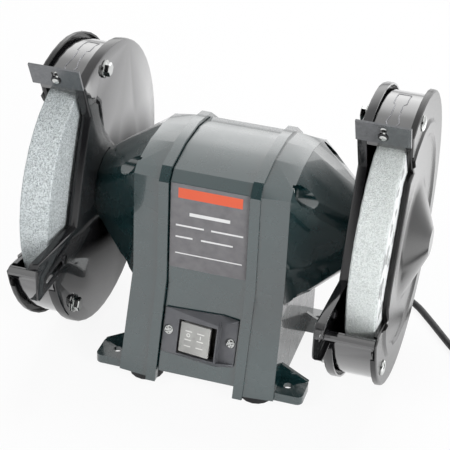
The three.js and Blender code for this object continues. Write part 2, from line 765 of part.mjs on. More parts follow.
// The lower end of the strip: its edge is rolled outwards, and the roll lies across the ends of both rims
function rolledHem() {
  const half = hem.height / 2;
  const section = new THREE.Shape();
  section.moveTo(-SHEET, -hem.foot);
  section.lineTo(-SHEET / 2, -hem.foot);
  section.quadraticCurveTo(0, -hem.height, hem.proud / 4, 1 - hem.height);
  section.absellipse(hem.proud / 4, 1 - half, hem.proud * 0.75, half, -Math.PI / 2, Math.PI / 2);
  section.lineTo(-SHEET, 1);
  const outline = sampled(section, hem.height / 3).map(({ x: out, y: up }) => (
    polar(bandOuter + out, hem.angle).add(polar(up, hem.angle - Math.PI / 2))
  ));
  return prismX(new THREE.Shape(outline), bandFrom, bandTo);
}

function guardBoltSolid() {
  const head = innerFace - FIT;
  const tail = coverFace + FIT;
  const inner = head - guardBolt.washer - guardBolt.headLength;
  const outer = tail + guardBolt.washer + guardBolt.headLength;
  return join(
    rodX(guardBolt.radius, inner + 1, outer - 1, facets.hole),
    rodX(guardBolt.washerRadius, head - guardBolt.washer, head),
    rodX(guardBolt.washerRadius, tail, tail + guardBolt.washer),
    prismX(hexagon(guardBolt.flats), inner, head - guardBolt.washer / 2),
    prismX(hexagon(guardBolt.flats), tail + guardBolt.washer / 2, outer),
  );
}

function restScrew() {
  const head = innerFace - FIT;
  const back = innerFace + SHEET + FIT;
  return join(
    rodX(arm.slotWidth / 2 - FIT, head - 1, back + 5, facets.hole),
    rodX(5, head - 2.5, head),
    prismX(hexagon(8), back, back + 4),
  );
}

// Deflector parts are built as if at the top of the guard and turned forward by their group
const deflectorBack = -FIT - deflector.thickness;
const deflectorScrewHeight = bandOuter + bandLip.height / 2 + 5.5;

function deflectorRod(radius, from, to) {
  const section = circle(radius, (innerFace + coverFace) / 2, deflectorScrewHeight);
  return prismY(section, from, to, facets.small / 2);
}

function deflectorPlate() {
  const edge = panRadius + FIT;
  const plate = block([innerFace, coverFace], [deflectorBack, -FIT], [edge, edge + deflector.height]);
  const middle = (innerFace + coverFace) / 2;
  const half = deflector.slotWidth / 2;
  const slotTop = deflectorScrewHeight + half + deflector.travel;
  const slot = roundedBox(middle - half, middle + half, deflectorScrewHeight - half, slotTop, half - 0.01);
  return cut(plate, prismY(slot, deflectorBack - 1, 1, 3));
}

function deflectorScrew() {
  const front = deflectorBack - FIT;
  const nut = SHEET + FIT;
  return join(
    deflectorRod(deflector.screwRadius, front - 1, nut + 2),
    deflectorRod(deflector.headRadius, front - 2.4, front),
    deflectorRod(deflector.headRadius - 0.4, nut, nut + 2.6),
  );
}

// ---------------------------------------------------------------- switch

const apronSlope = Math.atan2(body.footFront - body.halfDepth, shell.crease - body.footHeight);
const switchPlace = [
  0,
  -body.halfDepth - apron.drop * Math.sin(apronSlope),
  shell.crease - apron.drop * Math.cos(apronSlope),
];
const switchTilt = Math.PI / 2 - apronSlope;
const rockerBottom = rocker.y - rocker.height / 2;
const rockerTop = rocker.y + rocker.height / 2;
const switchWell = {
  left: rocker.x - rocker.halfWidth * 1.13,
  right: rocker.x + rocker.halfWidth * 1.13,
  bottom: rockerBottom - switchBody.rockerGap,
  top: rockerTop + switchBody.rockerGap,
};
const switchHole = {
  left: switchWell.left - switchBody.wall - FIT,
  right: switchWell.right + switchBody.wall + FIT,
  bottom: switchWell.bottom - switchBody.wall - FIT,
  top: switchWell.top + switchBody.wall + FIT,
};

// A solid given on the apron, moved to its place on the body
function switchFrame(shape) {
  return shape.rotate([THREE.MathUtils.radToDeg(switchTilt), 0, 0]).translate(switchPlace);
}

function switchPlateSolid() {
  const s = switchPlate;
  const outline = [
    [s.left, s.leftHalf], [s.left, -s.leftHalf], [s.ridge, s.ridgeBottom], [s.right, s.rightBottom],
    [s.right, s.rightTop], [s.ridge, s.ridgeTop],
  ];
  const corners = [
    ...outline.map(([x, y]) => new THREE.Vector3(x, y, FIT)),
    ...outline.map(([x, y]) => new THREE.Vector3(x, y, s.base)),
    new THREE.Vector3(s.ridge, s.frontTop, s.height),
    new THREE.Vector3(s.ridge, s.frontBottom, s.height),
  ];
  const tent = solid(new ConvexGeometry(corners));
  const above = s.height + 1;
  const pocketSide = [s.frontBottom - s.cheek, s.frontTop + s.cheek];
  const pocket = block([s.ridge, s.right + 1], pocketSide, [s.base, above]);
  const hole = block([switchHole.left, switchHole.right], [switchHole.bottom, switchHole.top], [-1, above]);
  return cut(tent, pocket, hole);
}

function switchBodySolid() {
  const w = switchWell;
  const wall = switchBody.wall;
  const dip = rocker.footHalf * Math.sin(THREE.MathUtils.degToRad(rocker.tilt));
  const floor = rocker.pivot + rocker.bottom - dip - FIT;
  const box = [[w.left - wall, w.right + wall], [w.bottom - wall, w.top + wall]];
  return cut(
    block(...box, [-switchBody.depth, switchBody.rim]),
    block([w.left, w.right], [w.bottom, w.top], [floor, switchBody.rim + 1]),
  );
}

// The rocker level in its middle position, about its own pivot
function rockerSolid() {
  const section = new THREE.Shape();
  section.moveTo(-rocker.halfWidth, rocker.top);
  section.lineTo(-rocker.footHalf, rocker.bottom);
  section.lineTo(rocker.footHalf, rocker.bottom);
  section.lineTo(rocker.halfWidth, rocker.top);
  section.lineTo(rocker.halfWidth - 1, rocker.top + 0.6);
  section.lineTo(-rocker.halfWidth + 1, rocker.top + 0.6);
  return prismY(section, -rocker.height / 2, rocker.height / 2);
}

// ---------------------------------------------------------------- cord

const rearSlope = Math.atan2(body.halfDepth - body.footBack, shell.crease - body.footHeight);
const glandPlace = [
  gland.x,
  body.halfDepth - Math.tan(rearSlope) * (shell.crease - gland.z),
  gland.z,
];
const glandTilt = -Math.PI / 2 - rearSlope;

function glandFrame(shape) {
  return shape.rotate([THREE.MathUtils.radToDeg(glandTilt), 0, 0]).translate(glandPlace);
}

function strainRelief() {
  const flangeTop = FIT + gland.flange;
  return turnedZ([
    [0, -gland.neck], [gland.neckRadius, -gland.neck], [gland.neckRadius, FIT], [gland.flangeRadius, FIT],
    [gland.flangeRadius, flangeTop], [gland.rootRadius, flangeTop], [gland.tip, flangeTop + gland.sleeve],
    [0, flangeTop + gland.sleeve],
  ]);
}

// Centre line of the free stretch, from the tip of the strain relief to the coil
const cordRoute = [
  [20, 87.3, 33.3], [20.5, 98, 31], [24, 115, 23], [33, 132, 12], [46, 142, 6.2],
  [63, 147.5, 3.9], [90, 142, 3.2], [120, 122, 3.1], [145, 104, 3.1], [161, 85, 3.1], [176, 65, 3.1],
  [190, 47, 3.1], [203, 33, 3.1], [219.6, 19.9, 3.1],
].map((point) => new THREE.Vector3(...point));

function cordTube() {
  const sides = 8;
  const section = new THREE.Shape(
    Array.from({ length: sides }, (_, i) => polar(cordDiameter / 2, i * 2 * Math.PI / sides)),
  );
  const path = new THREE.CatmullRomCurve3(cordRoute);
  const steps = Math.round(path.getLength() / (2 * cordDiameter));
  return solid(new THREE.ExtrudeGeometry(section, { steps, extrudePath: path, bevelEnabled: false }));
}

function cordCoil() {
  const inner = coil.midRadius - coil.bundle / 2;
  const outer = coil.midRadius + coil.bundle / 2;
  const round = 5;
  return turnedZ([
    [inner + round, 0], [outer - round, 0], [outer, round], [outer, coil.height - round],
    [outer - round, coil.height], [inner + round, coil.height], [inner, coil.height - round], [inner, round],
  ], facets.round);
}

// Two-pin plug on its side, its tail towards -Y and its pins towards +Y
function mainsPlug() {
  const { radius, body: bodyLength, grip, tail } = plug;
  const passage = cordDiameter / 2 + FIT;
  const body0 = tail + grip;
  const shape = turnedZ([
    [passage, 0], [passage + 1.6, 0], [passage + 3.4, tail], [radius * 0.62, tail + 2],
    [radius * 0.7, body0], [radius, body0 + 5], [radius, body0 + bodyLength], [0, body0 + bodyLength],
    [0, tail + 4], [passage, tail + 4],
  ]);
  const pins = [-1, 1].map((side) => turnedZ([
    [0, body0], [plug.pinRadius, body0], [plug.pinRadius, body0 + bodyLength + plug.pinLength - 1],
    [plug.pinRadius - 1, body0 + bodyLength + plug.pinLength], [0, body0 + bodyLength + plug.pinLength],
  ], facets.hole).translate([side * plug.pinPitch / 2, 0, 0]));
  return join(shape, ...pins).rotate([-90, 0, 0]);
}

// ---------------------------------------------------------------- assembly

const grinder = new THREE.Group();
grinder.name = 'bench_grinder';
grinder.position.y = (armReach - panRadius) / 2;

function addBody() {
  const parent = group(grinder);
  piece(parent, 'motor_housing', 'bodyPaint', motorHousing());
  const bellSolid = endBell();
  piece(parent, 'right_end_bell', 'bodyPaint', bellSolid);
  piece(parent, 'left_end_bell', 'bodyPaint', bellSolid, true);
  piece(parent, 'base_plate', 'steel', bottomPlate());
  const padSolid = rubberPad();
  for (const [side, x] of [['left', -pad.x], ['right', pad.x]]) {
    for (const [end, y] of [['front', pad.yFront], ['back', pad.yBack]]) {
      piece(parent, `${side}_${end}_pad`, 'rubber', padSolid).position.set(x, y, 0);
    }
  }
  const can = rodX(capacitor.radius, -capacitor.length / 2, capacitor.length / 2, facets.small);
  const canHeight = basePlate.bottom + basePlate.thickness + FIT + capacitor.radius;
  piece(parent, 'run_capacitor', 'capacitorCan', can).position.set(0, capacitor.y, canHeight);
}

function addMotor() {
  const parent = group(grinder, [0, 0, axisHeight]);
  piece(parent, 'stator_core', 'laminations', statorCore());
  piece(parent, 'right_winding', 'copper', windingHead());
  piece(parent, 'left_winding', 'copper', windingHead(), true);
  piece(parent, 'right_bearing', 'steel', ballBearing());
  piece(parent, 'left_bearing', 'steel', ballBearing(), true);
  piece(parent, 'bearing_spring_washer', 'steel', springWasher());
  const bolt = tieBoltSolid();
  for (const [place, [y, rise]] of Object.entries(tieBoltPlaces)) {
    piece(parent, `${place}_tie_bolt`, 'zinc', bolt).position.set(0, y, rise);
  }
}

function addRotor() {
  const parent = group(grinder, [spindle.shift, 0, axisHeight]);
  piece(parent, 'spindle', 'steel', spindleShaft());
  piece(parent, 'rotor_core', 'laminations', rotorCore());
  for (const [side, mirror] of [['left', true], ['right', false]]) {
    piece(parent, `${side}_wheel`, 'grit', grindingWheel(), mirror);
    const innerPaper = paperBlotter(wheelInner - blotter.thickness - FIT);
    piece(parent, `${side}_inner_blotter`, 'paper', innerPaper, mirror);
    piece(parent, `${side}_outer_blotter`, 'paper', paperBlotter(wheelOuter + FIT), mirror);
    piece(parent, `${side}_inner_flange`, 'steel', innerFlange(), mirror);
    piece(parent, `${side}_outer_flange`, 'steel', outerFlange(), mirror);
    piece(parent, `${side}_spindle_nut`, 'zinc', spindleNut(), mirror);
  }
}

function addGuard(side, mirror) {
  const parent = group(grinder, [0, 0, axisHeight]);
  piece(parent, `${side}_inner_guard`, 'guardPaint', innerGuard(), mirror);
  piece(parent, `${side}_guard_band`, 'guardPaint', guardBand(), mirror);
  piece(parent, `${side}_outer_cover`, 'guardPaint', outerCover(), mirror);
  for (const [place, degrees] of Object.entries(guardBoltAngles)) {
    const { x: y, y: z } = polar(guardBoltCircle, THREE.MathUtils.degToRad(degrees));
    piece(parent, `${side}_guard_bolt_${place}`, 'zinc', guardBoltSolid(), mirror).position.set(0, y, z);
  }
  const screwPlace = [0, arm.slotBack - arm.slotWidth / 2 - FIT, arm.slotRise];
  piece(parent, `${side}_rest_screw`, 'zinc', restScrew(), mirror).position.set(...screwPlace);
  const turnedForward = group(parent, [0, 0, 0], cutAngle - Math.PI / 2);
  piece(turnedForward, `${side}_deflector`, 'plate', deflectorPlate(), mirror);
  piece(turnedForward, `${side}_deflector_screw`, 'zinc', deflectorScrew(), mirror);
}

function addSwitch() {
  const parent = group(grinder, switchPlace, switchTilt);
  piece(parent, 'switch_plate', 'plasticDark', switchPlateSolid());
  piece(parent, 'switch_body', 'rubber', switchBodySolid());
  const rockerMesh = piece(parent, 'rocker', 'plasticGrey', rockerSolid());
  rockerMesh.position.set(rocker.x, rocker.y, rocker.pivot);
  rockerMesh.rotation.y = -THREE.MathUtils.degToRad(rocker.tilt);
}

function addCord() {
  const glandGroup = group(grinder, glandPlace, glandTilt);
  piece(glandGroup, 'strain_relief', 'rubber', strainRelief());
  const parent = group(grinder);
  piece(parent, 'mains_cord', 'rubber', cordTube());
  piece(parent, 'cord_coil', 'rubber', cordCoil()).position.set(coil.x, coil.y, 0);
  const start = Math.sqrt((coil.midRadius + coil.bundle / 2) ** 2 - coil.midRadius ** 2) + 2;
  piece(parent, 'mains_plug', 'rubber', mainsPlug())
    .position.set(coil.x + coil.midRadius, coil.y + start, plug.axisHeight);
}

addBody();
addMotor();
addRotor();
addGuard('left', true);
addGuard('right', false);
addSwitch();
addCord();

export default grinder;
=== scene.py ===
"""Bench grinder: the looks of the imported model. Metres, +Z up, front towards -Y."""
import math
import random

import bmesh
import bpy
from mathutils import Matrix, Vector


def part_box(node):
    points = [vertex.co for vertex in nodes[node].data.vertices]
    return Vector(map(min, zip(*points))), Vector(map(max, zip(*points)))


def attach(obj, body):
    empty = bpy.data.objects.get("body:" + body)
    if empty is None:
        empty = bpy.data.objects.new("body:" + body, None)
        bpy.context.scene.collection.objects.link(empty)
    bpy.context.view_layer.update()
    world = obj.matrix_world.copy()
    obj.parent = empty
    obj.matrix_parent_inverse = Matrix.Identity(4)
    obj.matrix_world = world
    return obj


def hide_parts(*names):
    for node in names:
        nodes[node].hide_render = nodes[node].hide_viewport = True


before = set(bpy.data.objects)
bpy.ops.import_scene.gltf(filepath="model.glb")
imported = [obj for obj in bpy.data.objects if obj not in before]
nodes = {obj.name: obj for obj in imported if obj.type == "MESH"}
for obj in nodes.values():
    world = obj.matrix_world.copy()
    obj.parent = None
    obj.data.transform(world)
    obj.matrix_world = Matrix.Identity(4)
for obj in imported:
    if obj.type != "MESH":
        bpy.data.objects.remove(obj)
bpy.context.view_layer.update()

# Sizes of the object's pieces are in mm unless a line says otherwise.
MM = 0.001
SETBACK = 15.1  # of the spindle behind the origin
SPINDLE_HEIGHT = 133.5
AXIS = Vector((0, SETBACK, SPINDLE_HEIGHT)) * MM  # a point on the spindle's axis
BODY_FRONT = -61  # y of the upright front
CREASE = 88  # height at which the apron starts to slope out
APRON_FOOT = (-85.5, 9.5)  # y and z of the apron's lower edge
ROUND_ABOUT = 2 * math.pi
SIDES = (("left", -1), ("right", 1))
CORNERS = ((-1, -1), (1, -1), (1, 1), (-1, 1))
LOOK_AT = (0, 0, 0.12)  # metres, the point that the lamps and the two wall cards face


def mm(x, y, z):
    """A point of the frame, from mm with y counted from the spindle's plane."""
    return Vector((x, y + SETBACK, z)) * MM


# ---------------------------------------------------------------- camera, lights, floor


CAMERA_ANGLES = (15.8, 31.3, 2.54)  # azimuth, elevation and roll, in degrees
CAMERA_TARGET = (-4.4, 0, 112.75)
CAMERA_DISTANCE = 1.2834  # metres
SENSOR, LENS = 36, 125.12


def add_camera():
    azimuth, elevation, roll = (math.radians(angle) for angle in CAMERA_ANGLES)
    level = math.cos(elevation)
    back = Vector((math.sin(azimuth) * level, -math.cos(azimuth) * level, math.sin(elevation)))
    right = Vector((math.cos(azimuth), math.sin(azimuth), 0))
    up = back.cross(right)
    across = right * math.cos(roll) + up * math.sin(roll)
    upright = up * math.cos(roll) - right * math.sin(roll)
    place = mm(*CAMERA_TARGET) + back * CAMERA_DISTANCE
    data = bpy.data.cameras.new("camera")
    data.sensor_width = SENSOR
    data.lens = LENS
    data.clip_end = 50  # metres
    camera = bpy.data.objects.new("camera", data)
    turn = Matrix((across, upright, back)).transposed().to_4x4()
    camera.matrix_world = Matrix.Translation(place) @ turn
    bpy.context.scene.collection.objects.link(camera)
    bpy.context.scene.camera = camera


def aimed(place, aim):
    """The turn and place of a flat light or card that faces a point."""
    turn = (Vector(aim) - Vector(place)).to_track_quat("-Z", "Y").to_matrix().to_4x4()
    return Matrix.Translation(place) @ turn


def add_softbox(name, place, size, power):
    """A soft light aimed at the object and left out of its gloss; its power is for a square metre."""
    data = bpy.data.lights.new(name, "AREA")
    data.shape = "RECTANGLE"
    data.size, data.size_y = size
    data.energy = size[0] * size[1] * power
    lamp = bpy.data.objects.new(name, data)
    lamp.matrix_world = aimed(place, LOOK_AT)
    lamp.visible_glossy = False
    bpy.context.scene.collection.objects.link(lamp)


def flat_sheet(name, half_width, half_height):
    mesh = bpy.data.meshes.new(name)
    mesh.from_pydata([(x * half_width, y * half_height, 0) for x, y in CORNERS], [], [(0, 1, 2, 3)])
    return mesh


def emptied(owner):
    """The node tree of a world or a new material, with nothing in it."""
    owner.use_nodes = True
    owner.node_tree.nodes.clear()
    return owner.node_tree


def blend(tree, factor, first, second, output="ShaderNodeOutputMaterial"):
    """Ends a tree in the first shader, or in the second where the factor is 1."""
    mixed = tree.nodes.new("ShaderNodeMixShader")
    tree.links.new(factor, mixed.inputs[0])
    tree.links.new(first.outputs[0], mixed.inputs[1])
    tree.links.new(second.outputs[0], mixed.inputs[2])
    tree.links.new(mixed.outputs[0], tree.nodes.new(output).inputs["Surface"])


def gloss_card(name, place, aim, size, radiance):
    """A card seen in the gloss only, whole in its middle and fading out to its edges."""
    half_width, half_height = size[0] / 2, size[1] / 2
    mesh = flat_sheet(name, half_width, half_height)
    card = bpy.data.objects.new(name, mesh)
    card.matrix_world = aimed(place, aim)
    bpy.context.scene.collection.objects.link(card)
    material = bpy.data.materials.new(name)
    tree = emptied(material)
    spot = tree.nodes.new("ShaderNodeTexCoord")
    scaled = tree.nodes.new("ShaderNodeVectorMath")
    scaled.operation = "MULTIPLY"
    scaled.inputs[1].default_value = (1 / half_width, 1 / half_height, 0)
    reach = tree.nodes.new("ShaderNodeVectorMath")
    reach.operation = "LENGTH"
    fade = tree.nodes.new("ShaderNodeMapRange")
    fade.interpolation_type = "SMOOTHSTEP"
    for key, number in (("From Min", 0.3), ("From Max", 1.0), ("To Min", 1.0), ("To Max", 0.0)):
        fade.inputs[key].default_value = number
    glow = tree.nodes.new("ShaderNodeEmission")
    glow.inputs["Strength"].default_value = radiance
    beyond = tree.nodes.new("ShaderNodeBsdfTransparent")
    tree.links.new(spot.outputs["Object"], scaled.inputs[0])
    tree.links.new(scaled.outputs[0], reach.inputs[0])
    tree.links.new(reach.outputs["Value"], fade.inputs["Value"])
    blend(tree, fade.outputs["Result"], beyond, glow)
    mesh.materials.append(material)
    card.visible_camera = card.visible_diffuse = card.visible_shadow = card.visible_transmission = False


def seen_directly(tree, camera=1.0, glossy=1.0):
    """The given shares on camera rays and on glossy and transmission rays, 0 on what lights the object."""
    path = tree.nodes.new("ShaderNodeLightPath")
    total = None
    parts = {"Is Camera Ray": camera, "Is Glossy Ray": glossy, "Is Transmission Ray": glossy}
    for output, part in parts.items():
        share = tree.nodes.new("ShaderNodeMath")
        share.operation = "MULTIPLY"
        share.inputs[1].default_value = part
        tree.links.new(path.outputs[output], share.inputs[0])
        if total:
            larger = tree.nodes.new("ShaderNodeMath")
            larger.operation = "MAXIMUM"
            tree.links.new(total, larger.inputs[0])
            tree.links.new(share.outputs[0], larger.inputs[1])
            share = larger
        total = share.outputs[0]
    return total


WORLD_LIGHT = 0.3  # on the object; seen directly the world is plain white


def add_world():
    world = bpy.data.worlds.new("studio")
    bpy.context.scene.world = world
    tree = emptied(world)
    lit = tree.nodes.new("ShaderNodeBackground")
    lit.inputs["Color"].default_value = (1, 1, 1, 1)
    lit.inputs["Strength"].default_value = WORLD_LIGHT
    seen = tree.nodes.new("ShaderNodeBackground")
    seen.inputs["Color"].default_value = (1, 1, 1, 1)
    seen.inputs["Strength"].default_value = 1.0
    blend(tree, seen_directly(tree), lit, seen, "ShaderNodeOutputWorld")


FLOOR_REACH = 12  # metres, to each side
FLOOR_SEEN = (0.9, 0.4)  # share of plain white on camera rays and in the gloss


def add_floor():
    mesh = flat_sheet("floor", FLOOR_REACH, FLOOR_REACH)
    floor = bpy.data.objects.new("floor", mesh)
    floor.location.z = -0.6 * MM
    bpy.context.scene.collection.objects.link(floor)
    material = bpy.data.materials.new("floor")
    tree = emptied(material)
    plain = tree.nodes.new("ShaderNodeBsdfDiffuse")
    plain.inputs["Color"].default_value = (0.86, 0.86, 0.87, 1)
    glow = tree.nodes.new("ShaderNodeEmission")
    glow.inputs["Strength"].default_value = 1.0
    blend(tree, seen_directly(tree, *FLOOR_SEEN), plain, glow)
    mesh.materials.append(material)


# ---------------------------------------------------------------- materials


class Surface:
    """A Principled material with its texture nodes, in the piece's own coordinates."""

    def __init__(self, name, **settings):
        self.material = bpy.data.materials.new(name)
        self.material.use_nodes = True
        self.tree = self.material.node_tree
        self.shader = self.tree.nodes["Principled BSDF"]
        self.place = self.node("ShaderNodeTexCoord").outputs["Object"]
        for key, value in settings.items():
            self.set(key.replace("_", " "), value)

    def node(self, kind, **fields):
        made = self.tree.nodes.new(kind)
        for key, value in fields.items():
            setattr(made, key, value)
        return made

    def link(self, source, target):
        self.tree.links.new(source, target)

    def set(self, key, value):
        socket = self.shader.inputs[key]
        if isinstance(value, bpy.types.NodeSocket):
            self.link(value, socket)
        else:
            socket.default_value = (*value, 1) if isinstance(value, tuple) else value

    def noise(self, scale, detail=2, roughness=0.5):
        made = self.node("ShaderNodeTexNoise")
        made.inputs["Scale"].default_value = scale
        made.inputs["Detail"].default_value = detail
        made.inputs["Roughness"].default_value = roughness
        self.link(self.place, made.inputs["Vector"])
        return made.outputs["Fac"]

    def grains(self, scale, output="Color"):
        made = self.node("ShaderNodeTexVoronoi")
        made.inputs["Scale"].default_value = scale
        self.link(self.place, made.inputs["Vector"])
        return made.outputs[output]

    def span(self, value, low, high, start=0.35, end=0.65):
        """value from start to end, mapped to low and high."""
        made = self.node("ShaderNodeMapRange")
        self.link(value, made.inputs["Value"])
        for key, number in (("From Min", start), ("From Max", end), ("To Min", low), ("To Max", high)):
            made.inputs[key].default_value = number
        return made.outputs["Result"]

    def colour(self, value, low, high, start=0.35, end=0.65):
        made = self.node("ShaderNodeValToRGB")
        made.color_ramp.elements[0].position = start
        made.color_ramp.elements[0].color = (*low, 1)
        made.color_ramp.elements[1].position = end
        made.color_ramp.elements[1].color = (*high, 1)
        self.link(value, made.inputs["Fac"])
        return made.outputs["Color"]

    def mix(self, factor, first, second):
        made = self.node("ShaderNodeMix", data_type="RGBA")
        for value, key in ((factor, 0), (first, 6), (second, 7)):
            if isinstance(value, bpy.types.NodeSocket):
                self.link(value, made.inputs[key])
            else:
                made.inputs[key].default_value = value if key == 0 else (*value, 1)
        return made.outputs[2]

    def math(self, operation, first, second=0.0):
        made = self.node("ShaderNodeMath", operation=operation)
        for value, socket in ((first, made.inputs[0]), (second, made.inputs[1])):
            if isinstance(value, bpy.types.NodeSocket):
                self.link(value, socket)
            else:
                socket.default_value = value
        return made.outputs[0]

    def bump(self, *heights):
        """Each height is (value, distance in metres)."""
        normal = None
        for value, distance in heights:
            made = self.node("ShaderNodeBump")
            made.inputs["Distance"].default_value = distance
            self.link(value, made.inputs["Height"])
            if normal:
                self.link(normal, made.inputs["Normal"])
            normal = made.outputs["Normal"]
        self.link(normal, self.shader.inputs["Normal"])


def body_paint():
    s = Surface("body_paint", Coat_Weight=1.0, Coat_IOR=1.9, Coat_Roughness=0.05, IOR=1.6)
    s.set("Base Color", s.colour(s.noise(22, 4), (0.003, 0.019, 0.021), (0.006, 0.025, 0.027)))
    s.set("Roughness", s.span(s.noise(60, 5), 0.22, 0.34))
    s.bump((s.noise(26, 1), 0.0004), (s.noise(420, 2), 0.00003))
    return s.material


def guard_paint(name="guard_paint", dull_rims=False):
    """Black gloss. With dull rims, only the faces square to the spindle keep their full coat."""
    inner = 1.5 if dull_rims else 1.8
    s = Surface(name, Coat_Weight=1.0, Coat_IOR=1.8, Coat_Roughness=0.04, IOR=inner)
    s.set("Base Color", s.colour(s.noise(30, 4), (0.007, 0.007, 0.008), (0.012, 0.012, 0.013)))
    s.set("Roughness", s.span(s.noise(45, 5), 0.06, 0.13))
    if dull_rims:
        split = s.node("ShaderNodeSeparateXYZ")
        s.link(s.node("ShaderNodeNewGeometry").outputs["Normal"], split.inputs[0])
        s.set("Coat Weight", s.span(s.math("ABSOLUTE", split.outputs["X"]), 0.1, 1, 0.3, 0.7))
    s.bump((s.noise(17, 1), 0.0004), (s.noise(500, 2), 0.00002))
    return s.material


def grit(name, scale, low, high):
    """Vitrified grains with darker pores between them and slightly paler patches."""
    s = Surface(name, Roughness=0.9)
    fine = s.noise(scale * 1.7, 4, 0.75)
    base = s.colour(s.grains(scale), low, high, 0.08, 0.7)
    pores = tuple(part * 0.62 for part in low)
    base = s.mix(s.span(fine, 0, 0.55, 0.3, 0.7), base, pores)
    s.set("Base Color", s.mix(s.span(s.noise(14, 3), 0, 0.1), base, high))
    s.set("Specular IOR Level", 0.25)
    s.bump((s.grains(scale, "Distance"), 0.0006), (fine, 0.0003))
    return s.material


def paper():
    s = Surface("paper", Roughness=0.85)
    s.set("Base Color", s.colour(s.noise(90, 5), (0.50, 0.51, 0.50), (0.70, 0.70, 0.68)))
    s.bump((s.noise(900, 3), 0.00008))
    return s.material


def metal(name, low, high, rough, metallic=1.0):
    s = Surface(name, Metallic=metallic)
    s.set("Base Color", s.colour(s.noise(240, 5, 0.6), low, high))
    s.set("Roughness", s.span(s.noise(120, 4), *rough))
    s.bump((s.noise(720, 3), 0.00003))
    return s.material


def deflector_metal():
    s = Surface("deflector_metal", Metallic=1.0)
    s.set("Base Color", s.colour(s.noise(300, 6, 0.7), (0.17, 0.175, 0.182), (0.215, 0.22, 0.228)))
    s.set("Roughness", s.span(s.noise(140, 4), 0.14, 0.22))
    s.bump((s.noise(1100, 3), 0.00003))
    return s.material


def plastic(name, low, high, rough, grain=1300, depth=0.00005):
    s = Surface(name)
    s.set("Base Color", s.colour(s.noise(70, 4), low, high))
    s.set("Roughness", s.span(s.noise(200, 3), *rough))
    s.bump((s.noise(grain, 2), depth))
    return s.material


def laminations():
    s = Surface("laminations", Metallic=1.0, Roughness=0.45)
    wave = s.node("ShaderNodeTexWave", wave_type="BANDS", bands_direction="X")
    wave.inputs["Scale"].default_value = 300
    s.link(s.place, wave.inputs["Vector"])
    stripes = s.colour(wave.outputs["Fac"], (0.12, 0.12, 0.125), (0.30, 0.30, 0.31), 0.2, 0.8)
    s.set("Base Color", stripes)
    s.bump((wave.outputs["Fac"], 0.0001))
    return s.material


def copper():
    s = Surface("copper", Metallic=1.0, Roughness=0.35)
    wave = s.node("ShaderNodeTexWave", wave_type="RINGS", rings_direction="X")
    wave.inputs["Scale"].default_value = 220
    wave.inputs["Distortion"].default_value = 1.5
    s.link(s.place, wave.inputs["Vector"])
    wires = s.colour(wave.outputs["Fac"], (0.24, 0.07, 0.025), (0.62, 0.24, 0.10), 0.1, 0.8)
    s.set("Base Color", wires)
    s.bump((wave.outputs["Fac"], 0.0003))
    return s.material


def dress(material, *names):
    for name in names:
        node = nodes[name]
        node.data.materials.clear()
        node.data.materials.append(material)


SAME_POINT = 1e-6  # metres


def smooth(node, width=0.0, angle=32):
    """Shades a piece smooth up to that angle, in degrees, and rounds its crisp edges by a width in metres."""
    if "custom_normal" in node.data.attributes:
        node.data.attributes.remove(node.data.attributes["custom_normal"])
    node.data.polygons.foreach_set("use_smooth", [True] * len(node.data.polygons))
    weld = node.modifiers.new("weld", "WELD")
    weld.merge_threshold = SAME_POINT
    if width:
        bevel = node.modifiers.new("bevel", "BEVEL")
        bevel.width = width
        bevel.segments = 2
        bevel.limit_method = "ANGLE"
        bevel.angle_limit = math.radians(angle)
        bevel.harden_normals = True
    else:
        split = node.modifiers.new("split", "EDGE_SPLIT")
        split.split_angle = math.radians(angle)
        split.use_edge_sharp = False


def both(*names):
    return [f"{side}_{name}" for side in ("left", "right") for name in names]


ROUNDED = {
    "motor_housing": 0.8, "left_end_bell": 0.9, "right_end_bell": 0.9,
    "switch_plate": 0.4, "rocker": 0.5, "switch_body": 0.3,
}  # widths of the rounded edges


def dress_all():
    dress(body_paint(), "motor_housing", *both("end_bell"))
    dress(guard_paint(), *both("guard_band", "outer_cover"))
    dress(guard_paint("inner_guard_paint", dull_rims=True), *both("inner_guard"))
    dress(grit("grit_coarse", 1500, (0.20, 0.24, 0.25), (0.90, 0.95, 0.96)), "left_wheel")
    dress(grit("grit_fine", 1300, (0.50, 0.54, 0.53), (0.84, 0.88, 0.87)), "right_wheel")
    dress(paper(), *both("inner_blotter", "outer_blotter"))
    steel = metal("steel", (0.30, 0.31, 0.32), (0.50, 0.51, 0.52), (0.28, 0.42))
    dress(steel, "base_plate", "bearing_spring_washer", "spindle",
          *both("bearing", "inner_flange", "outer_flange"))
    zinc = metal("zinc", (0.80, 0.81, 0.79), (0.93, 0.94, 0.92), (0.4, 0.55), metallic=0)
    dress(zinc, "front_top_tie_bolt", "back_top_tie_bolt", "front_bottom_tie_bolt", "back_bottom_tie_bolt",
          *both("spindle_nut", "rest_screw", "deflector_screw"),
          *both("guard_bolt_top", "guard_bolt_front", "guard_bolt_back"))
    dress(deflector_metal(), *both("deflector"))
    dress(laminations(), "stator_core", "rotor_core")
    dress(copper(), *both("winding"))
    dress(metal("can", (0.42, 0.43, 0.44), (0.56, 0.57, 0.58), (0.3, 0.45)), "run_capacitor")
    rubber = plastic("rubber", (0.010, 0.010, 0.011), (0.022, 0.022, 0.023), (0.55, 0.75), 700, 0.0001)
    dress(rubber, *both("front_pad", "back_pad"), "strain_relief", "mains_plug")
    plate = plastic("plate_plastic", (0.082, 0.084, 0.092), (0.108, 0.110, 0.118), (0.3, 0.42))
    dress(plate, "switch_plate")
    well = plastic("well_plastic", (0.022, 0.018, 0.015), (0.04, 0.034, 0.028), (0.25, 0.4))
    dress(well, "switch_body")
    grey = plastic("rocker_plastic", (0.31, 0.31, 0.30), (0.37, 0.37, 0.355), (0.26, 0.38))
    dress(grey, "rocker")
    for name, node in nodes.items():
        smooth(node, ROUNDED.get(name, 0) * MM)


